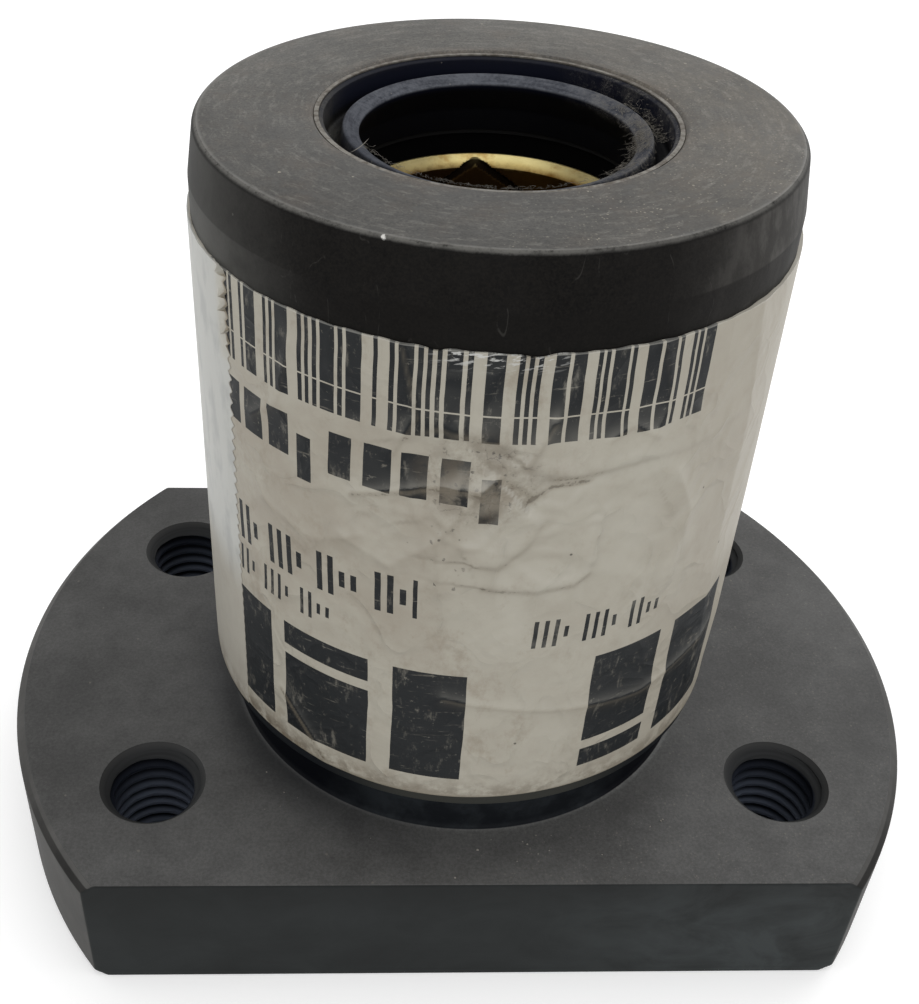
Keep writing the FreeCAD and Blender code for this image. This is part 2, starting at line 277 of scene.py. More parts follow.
def flat_patch(shell, loops, height, keep):
    """Level face between closed loops: constrained Delaunay triangles whose middles pass the keep test."""
    counts = [len(loop) for loop in loops]
    starts = np.repeat(np.cumsum([0] + counts[:-1]), counts)
    local = np.concatenate([np.arange(count) for count in counts])
    following = np.concatenate([(np.arange(count) + 1) % count for count in counts])
    edges = np.stack([starts + local, starts + following], axis=-1)
    plan = np.concatenate(loops)
    points, _, triangles, *_ = delaunay_2d_cdt(plan.tolist(), edges.tolist(), [], 1, 1e-6)
    points = np.array([tuple(point) for point in points])
    triangles = np.array(triangles)
    triangles = triangles[keep(points[triangles].mean(axis=1))]
    level = np.full((len(points), 1), height)
    shell.add(np.hstack([points, level]), triangles, smooth=False)


def sweep(paths, radius, sides):
    """Closed tubes along many paths at once: a small circle stands square to each path's direction."""
    along = np.gradient(paths, axis=1)
    along /= np.linalg.norm(along, axis=2, keepdims=True)
    aside = np.cross(along, np.array([0.13, 0.31, 0.94]))
    aside /= np.linalg.norm(aside, axis=2, keepdims=True)
    upright = np.cross(along, aside)
    angles = full_circle(sides)[None, None, :, None]
    stations = paths.shape[1]
    taper = np.clip(4.0 * np.minimum(np.linspace(0, 1, stations), np.linspace(1, 0, stations)), 0.06, 1.0)
    reach = np.asarray(radius)[:, None, None, None] * taper[None, :, None, None]
    circle = np.cos(angles) * aside[:, :, None] + np.sin(angles) * upright[:, :, None]
    return paths[:, :, None] + reach * circle


def add_tubes(shell, tubes):
    """Quads along every tube, and one flat face on each of its ends."""
    count, stations, sides, _ = tubes.shape
    walls = grid_quads(stations, sides, along=True)
    shift = (np.arange(count) * stations * sides)[:, None, None]
    first = np.arange(sides)[None, :]
    last = first + (stations - 1) * sides
    base = shell.count
    shell.add(tubes, (walls[None] + shift).reshape(-1, 4))
    ends = np.concatenate([first + shift[:, 0], last + shift[:, 0]])
    shell.faces += (ends + base).tolist()
    shell.smooth += [True] * len(ends)


# Materials written as expressions


class Wire:
    """A node's output in an expression: every operator on it adds a Math node."""

    def __init__(self, finish, socket):
        self.finish = finish
        self.socket = socket


def math_method(operation, swapped=False):
    """Method of Wire that adds one Math node; swapped puts the other value first."""
    def method(self, *other):
        values = (*other, self) if swapped else (self, *other)
        return self.finish.math(operation, *values)
    return method


for sign, operation in (
        ("add", "ADD"), ("radd", "ADD"), ("mul", "MULTIPLY"), ("rmul", "MULTIPLY"), ("sub", "SUBTRACT"),
        ("truediv", "DIVIDE"), ("pow", "POWER"), ("abs", "ABSOLUTE"), ("gt", "GREATER_THAN"),
        ("lt", "LESS_THAN")):
    setattr(Wire, f"__{sign}__", math_method(operation))
Wire.__rsub__ = math_method("SUBTRACT", swapped=True)
Wire.__rtruediv__ = math_method("DIVIDE", swapped=True)
Wire.__neg__ = lambda self: 0.0 - self


class Finish:
    """A procedural material or world while it is written."""

    def __init__(self, name, kind="materials"):
        self.owner = getattr(bpy.data, kind).new(name)
        self.owner.use_nodes = True
        self.tree = self.owner.node_tree
        self.tree.nodes.clear()

    def node(self, kind, settings=None, sockets=None, output=0):
        """Add a node: its settings first, then a value or a link for each of its sockets."""
        made = self.tree.nodes.new(kind)
        for key, value in (settings or {}).items():
            if key == "stops":
                self.set_stops(made.color_ramp, value)
            else:
                setattr(made, key, value)
        for key, value in (sockets or {}).items():
            if isinstance(value, Wire):
                self.tree.links.new(value.socket, made.inputs[key])
            else:
                made.inputs[key].default_value = value
        return Wire(self, made.outputs[output]) if made.outputs else None

    @staticmethod
    def set_stops(ramp, stops):
        """Give a colour ramp hard steps at the given places, each a place and a grey level."""
        ramp.interpolation = "CONSTANT"
        while len(ramp.elements) > 1:
            ramp.elements.remove(ramp.elements[-1])
        for index, (place, level) in enumerate(stops):
            element = ramp.elements[0] if index == 0 else ramp.elements.new(place)
            element.position = place
            element.color = (level, level, level, 1.0)

    def math(self, operation, *values):
        return self.node("ShaderNodeMath", {"operation": operation}, dict(enumerate(values)))

    def most(self, *values):
        return self.math("MAXIMUM", *values)

    def least(self, *values):
        return self.math("MINIMUM", *values)

    def vector(self, operation, *values, output=0):
        return self.node("ShaderNodeVectorMath", {"operation": operation}, dict(enumerate(values)), output)

    def place(self):
        """Object coordinates in millimetres."""
        metres = self.node("ShaderNodeTexCoord", output="Object")
        return self.node("ShaderNodeVectorMath", {"operation": "SCALE"}, {"Vector": metres, "Scale": 1.0 / MM})

    def axes(self, vector):
        """The three numbers of a vector."""
        x = self.node("ShaderNodeSeparateXYZ", None, {0: vector}, 0)
        sockets = x.socket.node.outputs
        return x, Wire(self, sockets[1]), Wire(self, sockets[2])

    def spot(self):
        """Object coordinates in millimetres: the vector, its three numbers and the distance from the axis."""
        place = self.place()
        x, y, z = self.axes(place)
        return place, x, y, z, (x * x + y * y) ** 0.5

    def join(self, x, y, z=0.0):
        return self.node("ShaderNodeCombineXYZ", None, {0: x, 1: y, 2: z})

    def noise(self, vector, size, detail=3.0, roughness=0.5, distortion=0.0):
        """Noise with features of about the given size in millimetres, from 0 to 1."""
        sockets = {"Vector": vector, "Scale": 1.0 / size, "Detail": detail, "Roughness": roughness,
                   "Distortion": distortion}
        return self.node("ShaderNodeTexNoise", {"noise_dimensions": "3D"}, sockets, "Fac")

    def specks(self, vector, spacing, size, share_kept):
        """Sparse round specks: near a cell's centre, in the share of cells that is kept."""
        sockets = {"Vector": vector, "Scale": 1.0 / spacing}
        cells = self.node("ShaderNodeTexVoronoi", {"feature": "F1"}, sockets)
        tone = Wire(self, cells.socket.node.outputs["Color"])
        chance = self.node("ShaderNodeSeparateColor", None, {0: tone}, 0)
        reach = size / spacing
        return self.fall(cells, reach * 0.6, reach) * (chance < share_kept)

    def step(self, value, low, high):
        """Smooth step from 0 at low to 1 at high."""
        return self.node("ShaderNodeMapRange", {"interpolation_type": "SMOOTHSTEP"},
                         {"Value": value, "From Min": low, "From Max": high})

    def fall(self, value, low, high):
        """Smooth step from 1 at low to 0 at high."""
        return 1 - self.step(value, low, high)

    def band(self, value, low, high, soft):
        """1 between low and high with soft sides."""
        return self.step(value, low - soft, low) * self.fall(value, high, high + soft)

    def blend(self, factor, first, second):
        """Colour between two colours."""
        sockets = {0: factor, 6: self.rgba(first), 7: self.rgba(second)}
        return self.node("ShaderNodeMix", {"data_type": "RGBA"}, sockets, 2)

    def coat(self, tone, *layers):
        """Colour under layers, each an amount and a colour, the last on top."""
        for amount, over in layers:
            tone = self.blend(amount, tone, over)
        return tone

    @staticmethod
    def rgba(tone):
        """Colour with its alpha, or a link as it is."""
        return tone if isinstance(tone, Wire) else (*tone, 1.0)

    def bump(self, height, depth, strength):
        """Normal from a height between 0 and 1 that stands for a depth in millimetres."""
        return self.node("ShaderNodeBump", None,
                         {"Height": height, "Distance": depth * MM, "Strength": strength})

    def surface(self, **sockets):
        """Close the material with a Principled shader; names use underscores for blanks."""
        named = {key.replace("_", " "): value for key, value in sockets.items()}
        shader = self.node("ShaderNodeBsdfPrincipled", None, named)
        self.node("ShaderNodeOutputMaterial", None, {"Surface": shader})
        return self.owner


def below_end(z):
    """Depth below the nearer end face of the housing."""
    return TOP / 2.0 - abs(z - TOP / 2.0)


def black_steel(s):
    """Black oxide: dark and satin, dusty on level faces, cooler on the flats, knocked at its rim, with painted
    light and shade on the barrel, neck, flange, bore and tapped holes.
    """
    f = Finish("black_steel")
    place, x, y, z, radius = f.spot()
    top, flange_top, flat = s.height / MM, s.thickness / MM, s.flat / MM
    hole_x = s.bolt_circle / MM * math.cos(s.bolt_angle)
    hole_y = s.bolt_circle / MM * math.sin(s.bolt_angle)
    from_hole = ((abs(x) - hole_x) ** 2 + (abs(y) - hole_y) ** 2) ** 0.5

    mouth = f.step(z, top - 0.36, top - 0.3) * f.band(radius, SEAT, SEAT + 0.6, 0.05)
    on_end = f.most(f.step(z, top - 0.05, top - 0.01), mouth)
    on_flange = f.band(z, flange_top - 0.02, flange_top + 0.1, 0.03) * f.step(radius, NECK - 0.1, NECK + 0.1)
    on_flat = f.step(abs(y), flat - 0.12, flat - 0.03)
    on_round = f.step(radius, 48.7, 48.95) * f.fall(z, flange_top - 0.06, flange_top - 0.02) * (1 - on_flat)
    on_barrel = f.band(z, NECK_TOP + 0.5, top - 0.5, 0.3) * f.step(radius, 25.8, 26.2)
    on_neck = f.band(z, flange_top + 0.12, NECK_TOP - 0.15, 0.04) * f.fall(radius, 27.2, 27.6)
    below_label = f.band(z, NECK_TOP + 0.05, NECK_TOP + 1.7, 0.1) * f.band(radius, 26.6, 27.4, 0.1)
    in_hole = f.fall(from_hole, HOLE_MOUTH - 0.1, HOLE_MOUTH)
    in_thread = in_hole * f.fall(z, flange_top - 1.4, flange_top - 1.2)
    in_bore = f.fall(radius, SEAT - 0.05, SEAT + 0.05) * f.band(z, 0.4, top - 0.4, 0.3)

    patches = f.noise(place, 13.0, 5.0, 0.6)
    mottle = f.noise(place, 2.6, 5.0, 0.7)
    grain = f.noise(place, 0.34, 3.0, 0.75)
    cloud = f.step(patches * 0.6 + mottle * 0.4, 0.36, 0.68)
    speckle = f.step(grain, 0.3, 0.72)
    tone = f.blend(cloud, s.steel, s.bloom)
    # Teal streaks on the flats, made stronger towards the right as painted light; the flats are also darker
    # towards their top edge.
    streaks_and_painted_light = f.noise(f.join(x * 0.4, y, z * 0.6), 4.0, 5.0, 0.68, 0.6)
    streaks_and_painted_light = f.step(streaks_and_painted_light * 0.7 + patches * 0.3, 0.3, 0.7) * (0.32 + 1.14 * f.step(x, 2.0, 34.0))
    cool = f.coat((0.019, 0.021, 0.021), (streaks_and_painted_light, s.cool), (f.step(z, 9.0, 14.5) * 0.3, s.bloom))
    # Painted light and shade on the flange: its film is lighter at the front and darker on the left, and the
    # lower half of the chamfer near the front is painted as shade. The pale film on the round side and chamfer
    # is partly dust and partly painted light.
    painted_light_and_shade = 1.08 - 0.2 * f.step(-x, 12.0, 40.0) + 0.12 * f.step(-y, 16.0, 30.0)
    shaded = f.band(z, flange_top - 1.0, flange_top - 0.5, 0.12) * f.fall(y, -30.0, -14.0)
    tone = f.coat(
        tone,
        (on_flat, cool),
        (on_flange * (0.54 + 0.34 * cloud) * (0.78 + 0.4 * speckle) * painted_light_and_shade, s.film),
        (on_round * (0.6 + 0.36 * cloud) * (1 - 0.75 * shaded), (0.103, 0.101, 0.097)))

    ringwise = f.join(x / radius * 2.2, y / radius * 2.2, radius * 0.8)
    smudge = f.step(f.noise(ringwise, 1.0, 5.0, 0.68), 0.36, 0.68)
    fine = f.step(f.noise(place, 0.2, 2.0, 0.6) * 0.5 + grain * 0.5, 0.34, 0.66)
    blotch = f.step(f.noise(place, 6.0, 5.0, 0.7), 0.36, 0.64)
    powder = on_end * (0.22 + 0.14 * cloud + 0.16 * smudge + 0.14 * blotch) * (0.42 + 1.0 * fine)
    # Lighter towards the back and right.
    powder = powder * (0.58 + 0.58 * f.step(y + x * 0.3, -20.0, 18.0))
    powder = f.least(powder, 1.0)
    stain = on_end * f.step(f.noise(place, 5.0, 5.0, 0.7), 0.46, 0.7)
    near_wiper = on_end * f.fall(radius + mottle * 1.6, 17.0, 18.4)
    thick_side = 0.25 + 0.75 * f.step(x - y * 0.4, 2.0, 18.0)
    gathered = thick_side * (0.25 + 0.75 * f.step(mottle, 0.4, 0.6))
    strewn = f.vector("ADD", place, f.join(grain * 0.3, mottle * 0.9, 0.0))
    flecks = f.specks(strewn, 0.36, 0.085, 0.7) * gathered * 0.8
    flecks = flecks + f.specks(strewn, 0.7, 0.125, 0.5) * gathered
    flecks = f.least(flecks + f.specks(strewn, 2.1, 0.17, 0.34), 1.0)
    dashes = f.specks(f.join(x * 0.35 + y * 0.2, y * 1.2 - x * 0.3, 0.0), 1.1, 0.1, 0.2)
    hairline = abs(f.noise(f.join(x * 0.5 + y * 0.3, y * 0.8 - x * 0.2, 3.0), 4.0, 2.0) - 0.5)
    hairline = f.fall(hairline, 0.0012, 0.005) * f.step(blotch, 0.3, 0.7)
    rusty = on_end * f.step(x, 0.0, 22.0) * (0.3 + 0.7 * blotch)
    scuff = f.noise(f.join(x / radius * 10.0, y / radius * 10.0, radius * 1.5), 1.0, 6.0, 0.75)
    tone = f.coat(
        tone,
        (powder, s.dust),
        (stain * 0.26, s.dirt),
        (near_wiper * (0.06 + 0.5 * blotch) * (0.3 + 0.7 * fine), s.dirt),
        (flecks * (on_end * 0.7 + on_flange * 0.16), (0.33, 0.3, 0.24)),
        (dashes * on_end * 0.45, (0.28, 0.262, 0.22)),
        (hairline * on_end * 0.14, (0.25, 0.24, 0.215)),
        (rusty * 0.42, (0.104, 0.086, 0.062)),
        (f.step(scuff, 0.48, 0.66) * on_end * 0.56, (0.06, 0.059, 0.055)),
        (f.fall(scuff, 0.32, 0.5) * on_end * 0.38, (0.19, 0.182, 0.163)))

    upright = f.noise(f.join(x, y, z * 0.5), 2.4, 5.0, 0.72)
    above_taper = f.step(z, TAPER_START - 0.1, TAPER_START + 0.1)
    ahead = f.fall(abs(x), 10.0, 20.0)
    left_side = f.step(-x, 15.0, 27.0) * (1 - 0.4 * above_taper)
    right_side = f.step(x - y * 0.3, 17.0, 27.0) * (0.35 + 0.65 * above_taper)
    scratch = f.fall(abs(f.noise(f.join(x, y, z * 0.3), 4.0, 2.0) - 0.5), 0.001, 0.006)
    # Painted light and shade on the barrel: darker at the front below the taper and lighter on the left; on the
    # right the lighter upright streaks are partly dust and partly painted light.
    tone = f.coat(
        tone,
        (on_barrel * fine * 0.55, (0.0155, 0.014, 0.0122)),
        (on_barrel * (1 - above_taper) * ahead * 0.4, (0.006, 0.0056, 0.005)),
        (left_side * on_barrel * (0.5 + 0.5 * cloud), (0.088, 0.087, 0.081)),
        (right_side * on_barrel * (0.42 + 0.48 * f.step(upright, 0.4, 0.66)), (0.08, 0.0765, 0.0715)),
        (scratch * on_barrel * f.step(mottle, 0.48, 0.6) * 0.4, (0.055, 0.052, 0.048)),
        (f.specks(place, 2.2, 0.14, 0.16) * on_barrel * 0.5, (0.11, 0.105, 0.096)))

    # Painted reflection: the neck is painted near black as shade with a blotchy sheen at its front right, and
    # the strip of barrel below the label has painted light, lightest at the front.
    painted_neck_sheen = f.band(x + mottle * 6.0, -4.0, 12.0, 9.0) * (0.4 + 0.8 * blotch)
    lit = f.fall(abs(x - 1.0), 7.0, 17.0)
    # Near the neck's foot the flange gets a pale ring, partly dust and partly painted light where the barrel's
    # shadow falls, and a painted shadow on its left side.
    foot = on_flange * f.fall(radius + mottle * 0.6, 25.6, 28.6) * f.step(x, -16.0, -2.0)
    painted_shadow_left = on_flange * f.fall(radius, 25.4, 31.0) * f.step(-x, 2.0, 18.0)
    rings = f.step(f.noise(f.join(from_hole * 5.0, x * 0.1, y * 0.1), 1.0, 2.0), 0.36, 0.64)
    worn = in_hole * f.step(z, flange_top - 0.75, flange_top)
    # Painted light and shade in the thread: lighter and bluer deeper down the hole than near its top, with
    # painted shade in the thread's roots.
    ridges = f.coat(
        (0.11, 0.128, 0.17),
        (f.step(z, flange_top - 8.5, flange_top - 2.0), (0.0085, 0.0105, 0.016)),
        (f.step(from_hole, 4.4, 4.8) * 0.85, (0.002, 0.0026, 0.004)))
    tone = f.coat(
        tone,
        (on_neck * 0.97, f.blend(painted_neck_sheen, (0.0022, 0.0026, 0.004), (0.018, 0.021, 0.024))),
        (below_label * 0.92, f.blend(lit, (0.009, 0.0105, 0.0125), (0.04, 0.0405, 0.036))),
        (foot * (0.2 + 0.3 * fine), (0.14, 0.14, 0.136)),
        (painted_shadow_left * 0.55, (0.013, 0.0145, 0.0165)),
        (in_hole * (0.9 - 0.22 * rings), (0.028, 0.029, 0.03)),
        (worn * 0.5, (0.055, 0.055, 0.0535)),
        (in_thread * 0.97, ridges),
        # Painted shade: the housing's bore is painted near black.
        (in_bore * 0.95, (0.0012, 0.0012, 0.0014)))

    # The line along the end face's outer rim is partly edge wear and partly a painted highlight, stronger on the
    # left.
    rim = ((radius - 26.06) ** 2 + (z - (top - 0.07)) ** 2) ** 0.5
    rim = f.fall(rim + grain * 0.3, 0.2, 0.56) * f.step(mottle * 0.6 + grain * 0.4, 0.3, 0.56)
    nick = f.vector("MULTIPLY", f.vector("SUBTRACT", place, (-10.4, -23.95, top - 0.28)), (1.6, 1.3, 1.0))
    nick = f.fall(f.vector("LENGTH", nick, output="Value") + mottle * 0.8 + grain * 0.6, 0.84, 1.06)
    tone = f.coat(
        tone,
        (rim * (0.52 + 0.2 * f.step(-x, -10.0, 4.0)), (0.17, 0.165, 0.153)),
        (nick * 0.85, s.bare))

    relief = grain * 0.5 + mottle * 0.3 + smudge * on_end * 0.2
    roughness = 0.5 + 0.12 * mottle + 0.15 * powder - 0.06 * on_neck + 0.3 * in_bore
    satin = (on_end * 0.46 + on_flange * 0.4) * (0.7 + 0.6 * patches) * (1 - in_hole) + on_flat * 0.06
    return f.surface(
        Base_Color=tone, Roughness=roughness, Metallic=nick * 0.5, Specular_IOR_Level=0.04,
        Coat_Weight=satin, Coat_Roughness=0.42, Normal=f.bump(relief, 0.03, 0.5))


def turned_bronze(s):
    """Bronze: bright at the mouth, brown with old oil further down the bore, with painted shade: near black in
    the grooves and darker at both sides of the mouth.
    """
    f = Finish("bronze")
    place, x, y, z, radius = f.spot()
    mottle = f.noise(place, 1.8, 4.0, 0.65)
    coarse = f.noise(place, 3.0, 4.0, 0.7)
    grain = f.noise(f.join(x, y, z * 9.0), 1.0, 3.0, 0.6)
    middle, bore, mouth = TOP / 2.0, s.bore / MM, s.mouth / MM
    from_middle = abs(z - middle)
    mouth_start = UPPER_BUSH_HIGH.z / MM - middle - mouth
    on_mouth = f.step(from_middle + (mottle - 0.5) * 1.0, mouth_start - 0.15, mouth_start + 0.5)
    cone = bore + f.most(from_middle - mouth_start, 0.0)
    in_groove = f.step(radius - cone, 0.04, 0.3)
    inward = (from_middle - mouth_start) / mouth + (coarse - 0.5) * 0.8
    # Painted shade: the mouth is darker at both sides.
    aside = f.most(f.fall(x, -6.0, -1.0), f.step(x, 4.5, 10.0))
    bright = f.coat(
        s.bronze,
        (f.step(coarse, 0.46, 0.66) * 0.8, (0.44, 0.28, 0.085)),
        (f.fall(inward, 0.15, 0.7) * 0.55, (0.4, 0.265, 0.07)),
        (aside * 0.68, (0.2, 0.162, 0.08)))
    oiled = f.blend(f.step(x, 0.0, 7.0), s.tarnish, (0.1, 0.045, 0.006))
    film = (1 - on_mouth) * (0.9 + 0.1 * mottle) + on_mouth * f.step(mottle, 0.54, 0.78) * 0.4
    tone = f.blend(f.least(film, 1.0), bright, oiled)
    # Painted shade: the grooves are painted near black.
    tone = f.blend(in_groove * 0.95, tone, (0.007, 0.004, 0.002))
    roughness = 0.38 + 0.22 * mottle + 0.2 * in_groove
    return f.surface(
        Base_Color=tone, Metallic=1.0 - 0.6 * in_groove, Roughness=roughness, Specular_IOR_Level=0.08,
        Normal=f.bump(grain, 0.02, 0.6))


def case_steel(s):
    """Pressed case: dull grey with rust stains along its rim, partly worn and partly a painted highlight, and
    near black below it.
    """
    f = Finish("case_steel")
    place = f.place()
    depth = below_end(f.axes(place)[2])
    mottle = f.noise(place, 0.7, 4.0, 0.7)
    coarse = f.noise(place, 4.0, 3.0, 0.6)
    rim = f.fall(depth, 0.24, 0.4)
    stain = f.step(mottle * 0.6 + coarse * 0.4, 0.4, 0.62)
    tone = f.blend(stain * 0.7, s.case, s.rust)
    tone = f.blend(rim, (0.006, 0.006, 0.0062), tone)
    return f.surface(
        Base_Color=tone, Metallic=rim * (0.25 - 0.2 * stain), Roughness=0.5 + 0.25 * stain,
        Specular_IOR_Level=0.15, Normal=f.bump(mottle, 0.04, 0.5))


def wiper_rubber(s):
    """Rubber: nearly black with a blue cast, powdered on the lip's bevel and matted with fluff on one side."""
    f = Finish("wiper_rubber")
    place, x, y, z, radius = f.spot()
    depth = below_end(z)
    cloud = f.noise(place, 2.0, 5.0, 0.7)
    grain = f.noise(place, 0.3, 3.0, 0.65)
    wiped = f.noise(f.join(x / radius * 4.0, y / radius * 4.0, radius * 3.4), 1.0, 4.0, 0.65)
    uneven = cloud * 0.35 + grain * 0.3 + wiped * 0.35
    on_lip = f.fall(radius + cloud * 0.2, LIP_CORNER, LIP_CORNER + 0.35) * f.fall(depth, 1.8, 2.1)
    on_wall = f.step(radius, LINING - 0.3, LINING - 0.05) * f.fall(depth + cloud * 0.8, 0.9, 1.5)
    # Painted shade: the rubber is painted near black below the lip.
    below = f.step(depth, 2.0, 2.7)
    tone = f.blend(below * 0.92, s.rubber, (0.0008, 0.0008, 0.0011))
    lit_side = 0.6 + 0.4 * f.step(y, -6.0, 11.0)
    right_side = f.step(x - y * 0.25, 3.0, 12.0) * f.fall(depth, 2.4, 3.2)
    matted = right_side * f.step(uneven, 0.42, 0.58)
    tangle = f.noise(place, 0.8, 3.0, 0.6, 2.2) * 2.0 - 1.0
    tangle = f.fall(abs(tangle), 0.012, 0.05)
    left_side = f.fall(x + y * 0.5, -16.0, -9.0) * f.step(radius, LIP_CORNER - 0.1, LIP_CORNER + 0.2)
    left_side = left_side * f.fall(depth, 3.3, 3.7)
    flecks = f.specks(place, 0.7, 0.09, 0.22) * f.most(f.most(on_lip, on_wall), left_side)
    tone = f.coat(
        tone,
        (on_wall * (0.03 + 0.24 * f.step(uneven, 0.42, 0.6)), (0.026, 0.0255, 0.0235)),
        (on_lip * (0.35 + 0.6 * f.step(uneven, 0.38, 0.6)) * lit_side, s.powder),
        (matted * (0.25 + 0.35 * on_lip), (0.1, 0.094, 0.085)),
        (tangle * right_side * f.step(cloud, 0.42, 0.56) * 0.6, (0.2, 0.188, 0.165)),
        (left_side * (0.12 + 0.5 * f.step(uneven, 0.42, 0.58)), (0.07, 0.066, 0.056)),
        (flecks * 0.5, (0.26, 0.24, 0.215)))
    roughness = 0.5 + 0.16 * cloud + 0.2 * on_lip
    return f.surface(
        Base_Color=tone, Roughness=roughness, Specular_IOR_Level=0.08, Normal=f.bump(grain, 0.02, 0.5))


def bar_stops(seed, count):
    """Grey steps of upright bars: narrow or wide bars and gaps in a random order, as places from 0 to 1."""
    draw = np.random.default_rng(seed)
    bars = np.where(draw.random(count) < 0.45, 1.7, 0.5) * draw.uniform(0.9, 1.1, count)
    gaps = np.where(draw.random(count) < 0.22, 1.3, 0.42)
    edges = np.stack([bars, gaps], axis=-1).ravel().cumsum()
    edges = np.concatenate([[0.0], edges[:-1]]) / edges[-1]
    return list(zip(edges.tolist(), np.tile([1.0, 0.0], count).tolist()))


def label_print(f, arc, height):
    """Ink mask: upright bars at the top, a row of blocks, rows of ticks, and a row of large plain blocks."""
    def between(value, low, high):
        return (value > low) * (value < high)

    def cells(value, low, pitch):
        along = (value - low) / pitch
        number = f.math("FLOOR", along) + 0.5
        chance = f.node("ShaderNodeTexWhiteNoise", {"noise_dimensions": "1D"}, {"W": number}, "Value")
        return f.math("FRACT", along), chance

    arc = arc + (f.noise(f.join(arc * 0.4, height, 7.0), 6.0, 2.0) - 0.5) * 0.4
    bars_low, bars_high, sections = -30.0, 16.8, 3
    width = (bars_high - bars_low) / sections
    ink = 0.0
    for index in range(sections):
        low = bars_low + index * width
        strip = f.node("ShaderNodeValToRGB", {"stops": bar_stops(41 + index, 13)}, {0: (arc - low) / width}, 0)
        strip = f.node("ShaderNodeSeparateColor", None, {0: strip}, 0) * between(arc, low, low + width)
        ink = strip + ink
    drop_out = abs(height - 66.6 + arc * 0.012) > 0.07
    ink = ink * (height > 64.2) * drop_out

    part, chance = cells(arc, -28.4, 3.25)
    rise = (height - 56.3) / 6.0
    block = between(part, 0.04, 0.46 + 0.36 * chance)
    block = block * between(rise, 0.3 * (chance > 0.6), 1.0 - 0.25 * (chance < 0.3))
    ink = ink + block * between(arc, -28.4, -0.3)

    for low, high, bottom, top, pitch, solid in (  # rows of ticks
            (-28.0, -6.9, 44.9, 49.3, 1.15, 0.5), (-28.0, -14.0, 40.9, 44.0, 0.95, 0.4),
            (3.4, 16.6, 42.0, 45.2, 0.95, 0.42)):
        part, chance = cells(arc, low, pitch)
        gap = f.math("FRACT", (arc - low) / pitch / 5.0) < 0.8
        up = (height - bottom) / (top - bottom)
        trim = (up < (0.7 + 0.3 * (chance > 0.5))) * (up > 0.3 * (chance < 0.3))
        ink = ink + between(arc, low, high) * between(up, 0.0, 1.0) * (part < solid) * gap * trim

    for low, high, bottom, top in (  # large blocks
            (-29.0, -22.4, 24.8, 38.6), (-20.6, -11.2, 24.8, 34.6), (-20.6, -11.2, 35.8, 38.6),
            (-8.8, -2.0, 24.8, 38.6), (9.8, 17.4, 28.4, 39.6), (9.8, 17.4, 24.8, 27.2),
            (19.4, 28.0, 24.8, 39.6)):
        ink = ink + between(arc, low, high) * between(height, bottom, top)
    return f.least(ink, 1.0)


